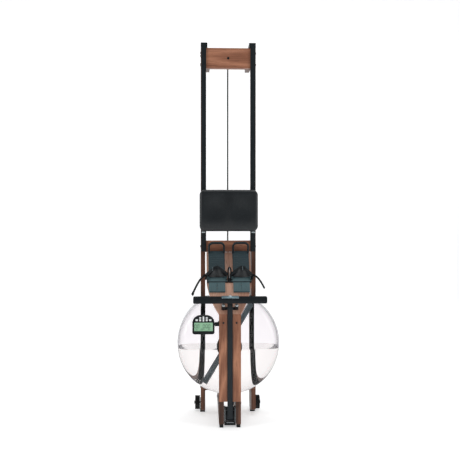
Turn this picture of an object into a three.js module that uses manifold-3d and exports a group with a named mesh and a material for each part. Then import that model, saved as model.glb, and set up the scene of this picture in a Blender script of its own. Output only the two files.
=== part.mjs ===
// A water rowing machine, stored upright on its front end.
// Millimetres. X runs across the machine. +Z is up, which is toward the machine's rear while it
// stands in store. -Y is the side that faces up when the machine is rowed.
// Until the last lines Y is counted from the front faces of the rails, and Z from the floor.
import * as THREE from 'three';
import { mergeVertices } from 'three/addons/utils/BufferGeometryUtils.js';
import Module from 'manifold-3d';

const wasm = await Module();
wasm.setup();

// ---- Driving dimensions ----

const gap = 0.3; // clearance between pieces that touch

// Rails: two planks on edge
const railSpacing = 257.4; // clear width between the planks
const railThickness = 25;
const railTop = 2057;
const railDepth = 95; // along the seat run
const cradleDepth = 180; // under the tank
const cradleTop = 700; // height where the deep part of the plank ends
const cradleShoulder = 70; // height of the slope between the two depths
const rowingFloor = 190; // plane that the machine stands on when it is rowed

// Seat tracks on the rails
const trackThickness = 8;
const trackWidth = 27;
const trackInset = 3; // strip of wood left bare along the outer edge
const trackBottom = 920;
const stopHeight = 20;
const stopRise = 20;
const capHeight = 28;
const capWidth = 37;

// Cross pieces between the rails
const heelBarHeight = 64;
const crossPieceThickness = 35;
const rearBlockHeight = 112;
const cordHoleRadius = 7.5;
const frontBarSize = 35;
const frontBarBottom = 112;

// Rear legs
const rearLegHeight = 102;
const rearLegTaper = 12;
const rearLegInset = 5; // below the rails' ends

// Deck and footboard
const deckFront = -235; // Y of the deck's upper face
const deckWidth = 116;
const deckThickness = 20;
const deckBottom = 136;
const deckTop = 597;
const channelWidth = 34;
const channelDepth = 1.5;
const footboardRise = 320; // height from the deck's end to the heel crossbar
const footboardRun = 225; // depth over the same length
const footboardThickness = 18;
const footboardSideGap = 7;
const shoulderLength = 191; // stretch over which the board widens from the deck

// Front legs
const uprightSpacing = 64; // clear width between the two
const uprightThickness = 26;
const postDepth = 70;
const postTop = 162;
const footHeight = 12;
const footLength = 42;
const footWidth = 21;
const footRise = 48; // how much higher the leg's end is at the back than at the front

// Tank
const tankRadius = 284;
const tankDome = 125; // depth of each half
const tankFullness = 4; // 2 is an ellipse; higher is flatter in the middle and rounder at the rim
const tankWall = 4;
const tankCentre = 414; // height of its axis
const tankRim = 10; // Y of the seam between the halves
const seamThickness = 3;
const liningThickness = 4; // rubber between tank and rails
const waterLevel = 389;
const fillHoleRadius = 12;
const fillHole = { x: -0.127 * tankRadius, z: 0.514 * tankRadius }; // from the tank's axis

// Paddle and its shaft
const shaftRadius = 12.5;
const bladeReach = tankRadius - tankWall - 30;
const paddleWidth = 31;
const paddleThickness = 5;
const bladeLength = 85;
const bladeDepth = 36;
const bladeThickness = 3;
const paddleHubRadius = 24;
const paddleHubLength = 24;
const paddleTilt = 31; // degrees from upright
const socketDepth = 14;
const socketWall = 7;

// Shaft bearing, strap drum and recoil spool, along the shaft
const bearingRadius = 60;
const bearingFlange = 12;
const neckRadius = 33.5;
const neckLength = 12;
const drumFlangeRadius = 67;
const flangeThickness = 4;
const drumRadius = 45;
const strapWidth = 28;
const strapThickness = 2.5;
const spoolRadius = 22;
const spoolLength = 24;
const spoolFlangeRadius = 40;

// Front roller and its bracket
const rollerRadius = 25;
const rollerHeight = 60;
const rollerWidth = 46;
const bracketWidth = 60;
const bracketPlate = 6;
const bracketBottom = 12;
const bracketSill = 16; // thickness of the bracket's floor
const guardHeight = 16; // bar over the roller, level with the bracket's top
const guardDepth = 20;
const bracketTop = 104;
const rollerPinRadius = 6;

// Recoil cord
const cordDiameter = 8;
const cordDepth = 85; // Y of the cord's run behind the seat

// Handle and its rest
const handleLength = 388;
const handleRadius = 19.5;
const handleHeight = 674;
const clipLength = 90;
const clipThickness = 2;
const pegSpacing = 70;
const pegRadius = 10;
const pegLength = 36;
const pegPlace = 33; // along the footboard from the deck
const restPlate = 3;
const restPlateReach = 8; // each way from the pegs' middle, along the board

// Seat
const seatWidth = 321;
const seatLength = 228;
const seatBottom = 1033;
const seatThickness = 42;
const seatCornerRadius = 30;
const seatRollerRadius = 17;
const seatRollerWidth = 18;
const axleRadius = 4;
const axleInset = 35; // from the pad's ends to the rollers
const carriagePlate = 4;
const carriageRise = 17; // from the rollers' axles up to the carriage plate

// Foot rests, in the footboard's own frame
const restOffset = 66.5; // from the middle to each foot rest
const toePlateStart = 131;
const toePlateWidth = 89;
const wingStart = 199;
const wingEnd = 238;
const wingWidth = 116;
const tongueWidth = 56;
const basePlate = 6;
const heelPlateStart = 223;
const heelPlateLength = 166;
const heelPlateWidth = 92;
const heelPlateToeWidth = 84;
const heelPlateThickness = 8;
const hoopThickness = 9;
const hoopDepth = 12;
const hoopHeight = 70;
const hoopLean = 30; // degrees toward the heel
const hoopFoot = 371; // where the hoop grows from the plate
const adjusterHole = 3;
const adjusterPitch = 9;
const footStrapWidth = 25;
const footStrapThickness = 3;
const footStrapRise = 48;
const footStrapPlace = 236; // where the ends sit, up the board
const footStrapShift = -10.5; // how far up the board the middle sits over the ends
const footStrapLean = 45; // degrees that the instep pad leans
const instepWidth = 64;
const tailWidth = 20;
const tailDrop = 128;
const tailReach = 84;

// Transport wheels and the feet beside them
const wheelRadius = 39.5;
const wheelWidth = 28;
const wheelDepth = 140; // Y of the axles
const wheelHeight = 46;
const wheelPinRadius = 5;
const wheelPlate = 3;
const railFoot = 10; // thickness of the rubber under the rails

// Monitor
const monitorCentre = -140;
const monitorBottom = 499;
const monitorWidth = 115;
const monitorHeight = 98;
const monitorThickness = 28;
const monitorFront = -288;
const monitorCorner = 12;
const screenWidth = 97;
const screenHeight = 44;
const screenRise = 17; // from the housing's lower edge
const screenThickness = 3;
const keyTravel = 1.5;
const keyThickness = 5;
const armHeight = 20;
const armThickness = 12;
const armRise = 41; // from the housing's lower edge to the arm's lower edge

// ---- Values worked out from them ----

const railInner = railSpacing / 2;
const railOuter = railInner + railThickness;
const trackOuter = railOuter - trackInset;
const trackMiddle = trackOuter - trackWidth / 2;
const machineTop = railTop + capHeight;
const heelBarBottom = deckTop + footboardRise;
const boardLength = Math.hypot(footboardRise, footboardRun);
const boardTurn = Math.atan2(footboardRise, footboardRun);
const mitre = Math.tan(Math.atan2(footboardRun, footboardRise) / 2);
const uprightInner = uprightSpacing / 2;
const uprightOuter = uprightInner + uprightThickness;
const bearingBack = tankRim - tankDome - 0.5;
const bearingFront = bearingBack - bearingFlange;
const drumBack = bearingFront - 4;
const drumStrapMiddle = drumBack - flangeThickness - 2 - strapWidth / 2;
const drumMiddleFlange = drumBack - flangeThickness - strapWidth - 4;
const spoolFront = drumMiddleFlange - flangeThickness - spoolLength;
const drumFront = spoolFront - flangeThickness;
const strapBack = deckFront - 1;
const strapFront = strapBack - strapThickness;
const rollerDepth = strapBack + rollerRadius;
const handleDepth = strapFront - gap - handleRadius;
const rollerAxleDepth = -trackThickness - gap - seatRollerRadius;
const carriageFront = rollerAxleDepth - carriageRise - carriagePlate;
const seatBack = carriageFront - gap;
const frontRollerLow = seatBottom + axleInset;
const rollerHigh = seatBottom + seatLength - axleInset;
const stopTop = frontRollerLow - seatRollerRadius - gap;
const axlePlace = [frontRollerLow, rollerHigh];
const sides = [['left', -1], ['right', 1]];

// ---- Finishes ----

function finish(color, roughness, metalness = 0, opacity = 1) {
  return new THREE.MeshStandardMaterial({
    color, roughness, metalness, opacity, transparent: opacity < 1
  });
}
const deckWood = finish(0xa56e55, 0.55);
const railWood = finish(0x6a4436, 0.6);
const boardWood = finish(0xd2a08c, 0.55);
const blackPlastic = finish(0x1e262a, 0.5);
const rubber = finish(0x17191a, 0.8);
const webbing = finish(0x14171a, 0.85);
const slatePlastic = finish(0x3c555c, 0.6);
const greyPlastic = finish(0x6e8c91, 0.6);
const steel = finish(0x8b9598, 0.3, 0.9);
const clearPlastic = finish(0xe9e6ec, 0.08, 0, 0.25);
const water = finish(0xf1efe4, 0.05, 0, 0.4);
const sealGrey = finish(0x9aa3a6, 0.6);
const vinyl = finish(0x1c2429, 0.4);
const screenGreen = finish(0x8cdc96, 0.2);
const whiteKey = finish(0xf2f4f4, 0.4);

// ---- Shape helpers ----

// A closed three.js geometry as a solid that can be joined and cut
function solid(geometry) {
  const bare = geometry.clone();
  bare.deleteAttribute('normal');
  bare.deleteAttribute('uv');
  const merged = mergeVertices(bare, 1e-4);
  return new wasm.Manifold(new wasm.Mesh({
    numProp: 3,
    vertProperties: new Float32Array(merged.attributes.position.array),
    triVerts: new Uint32Array(merged.index.array)
  }));
}

function geometryOf(manifold) {
  const mesh = manifold.getMesh();
  const geometry = new THREE.BufferGeometry();
  geometry.setAttribute('position', new THREE.BufferAttribute(mesh.vertProperties, 3));
  geometry.setIndex(new THREE.BufferAttribute(mesh.triVerts, 1));
  geometry.computeVertexNormals();
  return geometry;
}

function join(first, ...others) {
  return geometryOf(others.reduce((sum, other) => sum.add(solid(other)), solid(first)));
}

function cut(body, ...tools) {
  return geometryOf(tools.reduce((rest, tool) => rest.subtract(solid(tool)), solid(body)));
}

function block(x0, x1, y0, y1, z0, z1) {
  const box = new THREE.BoxGeometry(x1 - x0, y1 - y0, z1 - z0);
  return box.translate((x0 + x1) / 2, (y0 + y1) / 2, (z0 + z1) / 2);
}

// A block that spans both sides of the middle
function crossBlock(width, y0, y1, z0, z1) {
  return block(-width / 2, width / 2, y0, y1, z0, z1);
}

// A block on one side, between two distances from the middle
function sideBlock(sign, inner, outer, y0, y1, z0, z1) {
  return block(Math.min(sign * inner, sign * outer), Math.max(sign * inner, sign * outer), y0, y1, z0, z1);
}

// A plate whose outline is drawn in Y and Z, between two distances from the middle
function sidePlate(sign, inner, outer, shape) {
  const plate = new THREE.ExtrudeGeometry(shape, { depth: outer - inner, bevelEnabled: false, curveSegments: 12 });
  const across = new THREE.Vector3(1, 0, 0);
  const along = new THREE.Vector3(0, 1, 0);
  const up = new THREE.Vector3(0, 0, 1);
  plate.applyMatrix4(new THREE.Matrix4().makeBasis(along, up, across));
  return plate.translate(sign > 0 ? inner : -outer, 0, 0);
}

// A plate whose outline is drawn in X and Z, with its back face at y
function facePlate(shape, y, thickness, bevel = 0) {
  const plate = new THREE.ExtrudeGeometry(shape, {
    depth: thickness - 2 * bevel,
    bevelEnabled: bevel > 0,
    bevelThickness: bevel,
    bevelSize: bevel,
    bevelOffset: -bevel,
    bevelSegments: 2,
    curveSegments: 6
  });
  return plate.rotateX(Math.PI / 2).translate(0, y - bevel, 0);
}

function outline(points) {
  return new THREE.Shape(points.map(([a, b]) => new THREE.Vector2(a, b)));
}

function roundedRectangle(width, height, radius) {
  const w = width / 2 - radius;
  const h = height / 2 - radius;
  const shape = new THREE.Shape();
  shape.absarc(w, h, radius, 0, Math.PI / 2);
  shape.absarc(-w, h, radius, Math.PI / 2, Math.PI);
  shape.absarc(-w, -h, radius, Math.PI, 1.5 * Math.PI);
  shape.absarc(w, -h, radius, 1.5 * Math.PI, 2 * Math.PI);
  return shape;
}

// A turned piece about the Y axis. The profile holds (radius, depth) pairs and closes on itself.
function turned(profile, segments) {
  const points = profile.map(([radius, depth]) => new THREE.Vector2(radius, depth));
  if (THREE.ShapeUtils.area(points) < 0) points.reverse();
  points.push(points[0].clone());
  return new THREE.LatheGeometry(points, segments);
}

function turnedAlongX(profile, segments) {
  return turned(profile, segments).rotateZ(-Math.PI / 2);
}

function ring(inner, outer, from, to) {
  return [[inner, from], [outer, from], [outer, to], [inner, to]];
}

// A full, rounded dome from the rim to a given radius, as (radius, depth) pairs
function domeArc(radius, depth, toRadius, steps) {
  const power = 2 / tankFullness;
  const end = Math.acos((toRadius / radius) ** (1 / power));
  return Array.from({ length: steps + 1 }, (_, i) => {
    const angle = (end * i) / steps;
    return [radius * Math.max(Math.cos(angle), 0) ** power, depth * Math.sin(angle) ** power];
  });
}

// How deep a dome is at a given share of its radius, as a share of its full depth
function domeShare(share) {
  return (1 - share ** tankFullness) ** (1 / tankFullness);
}

// A flat band swept through places, each with its width and the directions of width and thickness.
// Width cross thickness points back along the band.
function band(stations, thickness) {
  const corners = [[-1, -1], [1, -1], [1, 1], [-1, 1]];
  const positions = [];
  for (const { place, across, through, width } of stations) {
    for (const [a, t] of corners) {
      const corner = place.clone();
      corner.addScaledVector(across, (a * width) / 2).addScaledVector(through, (t * thickness) / 2);
      positions.push(corner.x, corner.y, corner.z);
    }
  }
  const triangles = [];
  for (let i = 0; i < stations.length - 1; i += 1) {
    for (let c = 0; c < 4; c += 1) {
      const a = 4 * i + c;
      const b = 4 * i + ((c + 1) % 4);
      triangles.push(a, b + 4, b, a, a + 4, b + 4);
    }
  }
  const last = 4 * (stations.length - 1);
  triangles.push(0, 1, 2, 0, 2, 3, last, last + 2, last + 1, last, last + 3, last + 2);
  const geometry = new THREE.BufferGeometry();
  geometry.setAttribute('position', new THREE.BufferAttribute(new Float32Array(positions), 3));
  geometry.setIndex(triangles);
  geometry.computeVertexNormals();
  return geometry;
}

function add(parent, name, geometry, material) {
  const mesh = new THREE.Mesh(geometry, material);
  mesh.name = name;
  parent.add(mesh);
  return mesh;
}

// ---- Rails, tracks and the pieces between them ----

const machine = new THREE.Group();

const tankSegments = 40;
const domeSteps = 9;

// The tank's outside, grown by a clearance, as a solid tool
function tankTool(clearance) {
  const arc = domeArc(tankRadius + clearance, tankDome + clearance, 0, domeSteps);
  const front = arc.map(([radius, depth]) => [radius, -depth]).reverse();
  const tool = new THREE.LatheGeometry(
    [...front, ...arc.slice(1)].map(([radius, depth]) => new THREE.Vector2(Math.max(radius, 0), depth)),
    tankSegments
  );
  return tool.translate(0, tankRim, tankCentre);
}

const railShape = outline([
  [0, wheelHeight - railFoot], [railDepth, railFoot], [wheelDepth, railFoot], [cradleDepth, wheelHeight + 14],
  [cradleDepth, cradleTop], [railDepth, cradleTop + cradleShoulder], [railDepth, railTop], [0, railTop]
]);
const rearLegBottom = railTop - gap - rearLegInset - rearLegHeight;
const rearLegShape = outline([
  [crossPieceThickness + gap, rearLegBottom],
  [rowingFloor, rearLegBottom + rearLegTaper],
  [rowingFloor, rearLegBottom + rearLegHeight - rearLegTaper],
  [crossPieceThickness + gap, rearLegBottom + rearLegHeight]
]);

for (const [side, sign] of sides) {
  const plank = sidePlate(sign, railInner, railOuter, railShape);
  add(machine, `${side}_rail`, cut(plank, tankTool(liningThickness + gap)), railWood);

  const track = sideBlock(sign, trackOuter - trackWidth, trackOuter, -trackThickness, -gap, trackBottom, machineTop);
  const stopBack = -trackThickness + 1;
  const stop = sideBlock(
    sign, trackMiddle - seatRollerWidth / 2, trackOuter, stopBack - stopRise, stopBack, stopTop - stopHeight, stopTop
  );
  const cap = sideBlock(
    sign, railOuter - capWidth, railOuter, -trackThickness, railDepth + 3, railTop + gap, machineTop
  );
  add(machine, `${side}_seat_track`, join(track, stop, cap), blackPlastic);

  const legThickness = railThickness;
  const leg = sidePlate(sign, railInner - gap - legThickness, railInner - gap, rearLegShape);
  add(machine, `${side}_rear_leg`, leg, railWood);
}

const betweenRails = railSpacing - 2 * gap;
const cordHoleHeight = railTop - rearBlockHeight / 2;
const rearBlock = crossBlock(betweenRails, 0, crossPieceThickness, railTop - rearBlockHeight, railTop);
const cordHole = new THREE.CylinderGeometry(cordHoleRadius, cordHoleRadius, 3 * crossPieceThickness, 16);
cordHole.translate(0, 0, cordHoleHeight);
add(machine, 'rear_spacer_block', cut(rearBlock, cordHole), deckWood);

const heelBar = crossBlock(betweenRails, 0, crossPieceThickness, heelBarBottom + gap, heelBarBottom + heelBarHeight);
add(machine, 'heel_crossbar', heelBar, deckWood);

const frontBarBack = rowingFloor - 5;
const frontBarTop = frontBarBottom + frontBarSize;
const frontBar = crossBlock(betweenRails, frontBarBack - frontBarSize, frontBarBack, frontBarBottom, frontBarTop);
add(machine, 'front_crossbar', frontBar, railWood);

// ---- Deck, front legs and front roller ----

const deckShape = outline([
  [deckFront, deckBottom], [deckFront + deckThickness, deckBottom],
  [deckFront + deckThickness, deckTop - deckThickness * mitre], [deckFront, deckTop]
]);
const deckBoard = sidePlate(1, 0, deckWidth, deckShape).translate(-deckWidth / 2, 0, 0);
const channel = crossBlock(channelWidth, deckFront - 1, deckFront + channelDepth, deckBottom - 1, deckTop + 1);
add(machine, 'top_deck', cut(deckBoard, channel), deckWood);

const uprightShape = outline([
  [deckFront, footHeight], [rowingFloor, footHeight + footRise], [rowingFloor, frontBarBottom - gap],
  [deckFront + deckThickness + postDepth, frontBarBottom - gap], [deckFront + deckThickness + postDepth, postTop],
  [deckFront + deckThickness + gap, postTop], [deckFront + deckThickness + gap, deckBottom - gap],
  [deckFront, deckBottom - gap]
]);
const footMiddle = uprightInner + uprightThickness / 2;
const footRamp = (footRise * (footLength + 2)) / (rowingFloor - deckFront);
for (const [side, sign] of sides) {
  const upright = sidePlate(sign, uprightInner, uprightOuter, uprightShape);
  const seat = sideBlock(
    sign, uprightInner - 1, uprightOuter + 1, deckFront - 1, deckFront + footLength + 2, 0, footHeight + footRamp
  );
  add(machine, `${side}_front_upright`, cut(upright, seat), railWood);
  const foot = sideBlock(
    sign, footMiddle - footWidth / 2, footMiddle + footWidth / 2,
    deckFront + 2, deckFront + footLength, 0, footHeight + footRamp - gap
  );
  add(machine, `${side}_upright_foot`, foot, rubber);
}

const cheekBack = rollerDepth + rollerRadius;
const bracketFloor = crossBlock(bracketWidth, deckFront, cheekBack, bracketBottom, bracketBottom + bracketSill);
const guard = crossBlock(
  bracketWidth - 2, rollerDepth - guardDepth / 2, rollerDepth + guardDepth / 2, bracketTop - guardHeight, bracketTop
);
const cheeks = sides.map(([, sign]) => sideBlock(
  sign, bracketWidth / 2 - bracketPlate, bracketWidth / 2, deckFront, cheekBack, bracketBottom, bracketTop
));
const rollerPin = new THREE.CylinderGeometry(rollerPinRadius, rollerPinRadius, bracketWidth - bracketPlate, 16);
rollerPin.rotateZ(Math.PI / 2).translate(0, rollerDepth, rollerHeight);
add(machine, 'roller_bracket', join(bracketFloor, guard, ...cheeks, rollerPin), blackPlastic);

const rollerProfile = ring(rollerPinRadius + gap, rollerRadius, -rollerWidth / 2, rollerWidth / 2);
const frontRoller = add(machine, 'front_roller', turnedAlongX(rollerProfile, 28), blackPlastic);
frontRoller.position.set(0, rollerDepth, rollerHeight);

// ---- Tank, water, plug and bearing ----

const tank = new THREE.Group();
tank.position.set(0, tankRim, tankCentre);
machine.add(tank);

const halfSeam = seamThickness / 2 + gap;
const halfDepth = tankDome - halfSeam;

// One half's profile arcs, moved off the seam. The sign points away from the seam.
function shellArc(sign, inset, toRadius) {
  return domeArc(tankRadius - inset, halfDepth - inset, toRadius, domeSteps)
    .map(([radius, depth]) => [radius, sign * (depth + halfSeam)]);
}

const neckHole = neckRadius + gap;
const frontProfile = [...shellArc(-1, 0, neckHole), ...shellArc(-1, tankWall, neckHole).reverse()];
const plugTool = new THREE.CylinderGeometry(fillHoleRadius + gap, fillHoleRadius + gap, tankDome, 20);
plugTool.translate(fillHole.x, -tankDome, fillHole.z);
add(tank, 'tank_front_shell', cut(turned(frontProfile, tankSegments), plugTool), clearPlastic);

const shaftHole = shaftRadius + gap;
const socketRadius = shaftHole;
const socketFloor = tankDome - tankWall;
const housingBack = bearingBack - tankRim;
const housingFront = bearingFront - tankRim;
const rearProfile = [
  ...shellArc(1, 0, 0),
  [0, socketFloor], [socketRadius, socketFloor], [socketRadius, socketFloor - socketDepth],
  [socketRadius + socketWall, socketFloor - socketDepth],
  ...shellArc(1, tankWall, socketRadius + socketWall).reverse()
];
add(tank, 'tank_rear_shell', turned(rearProfile, tankSegments), clearPlastic);

const sealProfile = ring(tankRadius - tankWall, tankRadius, -seamThickness / 2, seamThickness / 2);
add(tank, 'tank_seal_ring', turned(sealProfile, tankSegments), sealGrey);

// The water fills the tank up to its level, less the disc that the paddle sweeps and what holds the shaft
const waterArc = domeArc(tankRadius - tankWall - gap, tankDome - tankWall - 2 * gap, 0, domeSteps);
const waterProfile = [
  ...waterArc.map(([radius, depth]) => [Math.max(radius, 0), -depth]).reverse(),
  ...waterArc.slice(1).map(([radius, depth]) => [Math.max(radius, 0), depth])
];
const fullWater = new THREE.LatheGeometry(waterProfile.map(([r, y]) => new THREE.Vector2(r, y)), tankSegments);
const sweptReach = Math.hypot(bladeReach, paddleWidth / 2) + 3;
const sweptDisc = new THREE.CylinderGeometry(sweptReach, sweptReach, bladeDepth + 6, tankSegments);
const above = crossBlock(2 * tankRadius, -tankDome, tankDome, waterLevel - tankCentre, tankRadius + 1);
const neckClear = new THREE.CylinderGeometry(neckRadius + gap, neckRadius + gap, neckLength + 2, 32);
neckClear.translate(0, housingBack + neckLength / 2, 0);
const socketOutside = socketRadius + socketWall + gap;
const socketClear = new THREE.CylinderGeometry(socketOutside, socketOutside, socketDepth + 4, 32);
socketClear.translate(0, socketFloor - socketDepth / 2, 0);
const shaftClear = new THREE.CylinderGeometry(shaftHole, shaftHole, 2 * tankDome, 24);
add(tank, 'tank_water', cut(fullWater, sweptDisc, above, neckClear, socketClear, shaftClear), water);

const plugSeat = -tankDome * domeShare(Math.hypot(fillHole.x, fillHole.z) / tankRadius);
const plugProfile = [
  [0, plugSeat + 9], [fillHoleRadius, plugSeat + 9], [fillHoleRadius, plugSeat - 6],
  [fillHoleRadius + 6, plugSeat - 6], [fillHoleRadius + 6, plugSeat - 13], [0, plugSeat - 13]
];
const fillPlug = add(tank, 'fill_plug', turned(plugProfile, 20), blackPlastic);
fillPlug.position.set(fillHole.x, 0, fillHole.z);

const housingProfile = [
  [shaftHole, housingBack + neckLength], [neckRadius, housingBack + neckLength], [neckRadius, housingBack],
  [bearingRadius, housingBack], [bearingRadius, housingBack - bearingFlange / 2],
  [neckRadius, housingFront], [shaftHole, housingFront]
];
add(tank, 'bearing_housing', turned(housingProfile, 32), blackPlastic);

// ---- Paddle, shaft and drum, all turning about the tank's axis ----

const paddle = new THREE.Group();
paddle.rotation.y = THREE.MathUtils.degToRad(paddleTilt);
tank.add(paddle);

const arm = crossBlock(paddleWidth, -paddleThickness / 2, paddleThickness / 2, -bladeReach, bladeReach);
const blades = sides.map(([, sign]) => block(
  ...[sign * paddleWidth / 2, sign * (paddleWidth / 2 - bladeThickness)].sort((a, b) => a - b),
  -bladeDepth / 2, bladeDepth / 2,
  ...[-sign * bladeReach, -sign * (bladeReach - bladeLength)].sort((a, b) => a - b)
));
const hub = new THREE.CylinderGeometry(paddleHubRadius, paddleHubRadius, paddleHubLength, 24);
const hubBore = new THREE.CylinderGeometry(shaftHole, shaftHole, paddleHubLength + 2, 24);
const paddleBody = solid(arm).add(solid(blades[0])).add(solid(blades[1])).add(solid(hub)).subtract(solid(hubBore));
add(paddle, 'paddle', geometryOf(paddleBody), steel);

const shaftBack = socketFloor - gap;
const shaftFront = drumFront - 4 - tankRim;
const shaftProfile = [[0, shaftFront], [shaftRadius, shaftFront], [shaftRadius, shaftBack], [0, shaftBack]];
add(paddle, 'paddle_shaft', turned(shaftProfile, 24), steel);

const drumProfile = [
  [shaftHole, drumBack], [drumFlangeRadius, drumBack], [drumFlangeRadius, drumBack - flangeThickness],
  [drumRadius, drumBack - flangeThickness], [drumRadius, drumMiddleFlange],
  [drumFlangeRadius, drumMiddleFlange], [drumFlangeRadius, drumMiddleFlange - flangeThickness],
  [spoolRadius, drumMiddleFlange - flangeThickness], [spoolRadius, spoolFront],
  [spoolFlangeRadius, spoolFront], [spoolFlangeRadius, drumFront], [shaftHole, drumFront]
].map(([radius, depth]) => [radius, depth - tankRim]);
add(tank, 'strap_drum', turned(drumProfile, 32), blackPlastic);

// ---- Drive strap and recoil cord ----

const strapLoose = 0.4; // clearance between the strap and what it runs on
const frontRun = crossBlock(strapWidth, strapFront, strapBack, rollerHeight + gap, handleHeight + handleRadius);
add(machine, 'drive_strap', frontRun.translate(0, -strapLoose / 2, 0), webbing);

// The strap leaves the drum with its width along Y, clears the flanges, and makes a quarter twist
// on its way to the roller
const twistSteps = 12;
const wrapSteps = 10;
const wrapRadius = rollerRadius + strapLoose + strapThickness / 2;
const drumEnd = new THREE.Vector3(drumRadius + strapLoose + strapThickness / 2, drumStrapMiddle, tankCentre);
const rollerEnd = new THREE.Vector3(0, rollerDepth + wrapRadius, rollerHeight);
const flangeEnd = drumEnd.clone().setZ(tankCentre - drumFlangeRadius - 8);
const runStations = [{
  place: drumEnd,
  width: strapWidth,
  across: new THREE.Vector3(0, 1, 0),
  through: new THREE.Vector3(-1, 0, 0)
}];
for (let i = 0; i <= twistSteps; i += 1) {
  const share = i / twistSteps;
  const turn = (share * Math.PI) / 2;
  runStations.push({
    place: flangeEnd.clone().lerp(rollerEnd, share),
    width: strapWidth,
    across: new THREE.Vector3(Math.sin(turn), Math.cos(turn), 0),
    through: new THREE.Vector3(-Math.cos(turn), Math.sin(turn), 0)
  });
}
for (let i = 1; i <= wrapSteps; i += 1) {
  const turn = (i / wrapSteps) * Math.PI;
  const outward = new THREE.Vector3(0, Math.cos(turn), -Math.sin(turn));
  runStations.push({
    place: new THREE.Vector3(0, rollerDepth, rollerHeight).addScaledVector(outward, wrapRadius),
    width: strapWidth,
    across: new THREE.Vector3(1, 0, 0),
    through: outward
  });
}
add(machine, 'strap_return_run', band(runStations, strapThickness), webbing);

const cordRadius = cordDiameter / 2;
const guideHeight = heelBarBottom + heelBarHeight;
const cordStart = spoolRadius + cordRadius + gap;
const spoolMiddle = drumMiddleFlange - flangeThickness - spoolLength / 2;
const cordRoute = [
  [cordStart, spoolMiddle, tankCentre],
  [cordStart, spoolMiddle, tankCentre + 40],
  [cordStart - 2, spoolMiddle + 3, tankCentre + drumFlangeRadius + 14],
  [11, -98, 700],
  [0, 55, 920],
  [0, cordDepth - 5, guideHeight],
  [0, cordDepth, guideHeight + 60],
  [0, cordDepth, 1300],
  [0, cordDepth, 1620],
  [0, cordDepth, 1900],
  [0, cordDepth - 8, 1955],
  [0, 62, 1985],
  [0, 42, cordHoleHeight - 1],
  [0, 12, cordHoleHeight]
].map(([x, y, z]) => new THREE.Vector3(x, y, z));
const cordSection = new THREE.Shape();
cordSection.absarc(0, 0, cordRadius, 0, 2 * Math.PI);
add(machine, 'recoil_cord', new THREE.ExtrudeGeometry(cordSection, {
  steps: 60,
  extrudePath: new THREE.CatmullRomCurve3(cordRoute, false, 'centripetal'),
  curveSegments: 4
}), webbing);

// The guide is a plate on the crossbar's back with an eye that the cord runs through
const guideWidth = 40;
const guideBack = cordDepth + 22;
const guidePlate = 10;
const guideMiddle = guideHeight - 22;
const guide = crossBlock(
  guideWidth, crossPieceThickness + gap, guideBack, guideMiddle - guidePlate / 2, guideMiddle + guidePlate / 2
);
const guideBase = crossBlock(
  guideWidth + 20, crossPieceThickness + gap, crossPieceThickness + 6, guideHeight - 50, guideHeight - 6
);
const guideEye = crossBlock(
  cordDiameter + 4, cordDepth - 26, cordDepth + 12, guideMiddle - guidePlate, guideMiddle + guidePlate
);
add(machine, 'cord_guide', cut(join(guide, guideBase), guideEye), blackPlastic);

// ---- Footboard with the foot rests and the handle rest ----
// In this group Y runs up the board from the deck, and Z stands out from its face.

const board = new THREE.Group();
board.position.set(0, deckFront, deckTop);
board.rotation.x = boardTurn;
machine.add(board);

const boardHalf = railInner - footboardSideGap;
const deckHalf = deckWidth / 2;
const boardShape = new THREE.Shape();
boardShape.moveTo(deckHalf, gap);
boardShape.lineTo(deckHalf + 2, 8);
boardShape.quadraticCurveTo(deckHalf + 47, 85, boardHalf, shoulderLength);
boardShape.lineTo(boardHalf, boardLength);
boardShape.lineTo(-boardHalf, boardLength);
boardShape.lineTo(-boardHalf, shoulderLength);
boardShape.quadraticCurveTo(-deckHalf - 47, 85, -deckHalf - 2, 8);
boardShape.lineTo(-deckHalf, gap);
const boardPlate = new THREE.ExtrudeGeometry(boardShape, {
  depth: footboardThickness, bevelEnabled: false, curveSegments: 8
});
boardPlate.translate(0, 0, -footboardThickness);
const mitreTool = new THREE.ExtrudeGeometry(outline([
  [gap, 1], [gap, 0], [gap + (footboardThickness + 2) * mitre, -footboardThickness - 2],
  [-20, -footboardThickness - 2], [-20, 1]
]), { depth: 2 * deckWidth, bevelEnabled: false });
mitreTool.applyMatrix4(new THREE.Matrix4().makeBasis(
  new THREE.Vector3(0, 1, 0), new THREE.Vector3(0, 0, 1), new THREE.Vector3(1, 0, 0)
));
mitreTool.translate(-deckWidth, 0, 0);
add(board, 'footboard', cut(boardPlate, mitreTool), boardWood);

const pegs = sides.map(([, sign]) => {
  const peg = new THREE.CylinderGeometry(pegRadius, pegRadius, pegLength - gap, 20);
  return peg.rotateX(Math.PI / 2).translate((sign * pegSpacing) / 2, pegPlace, (pegLength + gap) / 2);
});
const pegBase = crossBlock(
  pegSpacing + 2 * pegRadius, pegPlace - restPlateReach, pegPlace + restPlateReach, gap, restPlate + gap
);
add(board, 'handle_rest', join(pegBase, ...pegs), blackPlastic);

// A heel hoop: a round-cornered arch, drawn in X and Z
function hoopShape() {
  const half = heelPlateWidth / 2;
  const corner = 26;
  const arch = new THREE.Shape();
  arch.moveTo(half, 0);
  arch.lineTo(half, hoopHeight - corner);
  arch.absarc(half - corner, hoopHeight - corner, corner, 0, Math.PI / 2);
  arch.absarc(-half + corner, hoopHeight - corner, corner, Math.PI / 2, Math.PI);
  arch.lineTo(-half, 0);
  const inner = half - hoopThickness;
  const innerCorner = corner - hoopThickness;
  arch.lineTo(-inner, 0);
  arch.lineTo(-inner, hoopHeight - corner);
  arch.absarc(-inner + innerCorner, hoopHeight - corner, innerCorner, Math.PI, Math.PI / 2, true);
  arch.absarc(inner - innerCorner, hoopHeight - corner, innerCorner, Math.PI / 2, 0, true);
  arch.lineTo(inner, 0);
  return arch;
}

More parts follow.
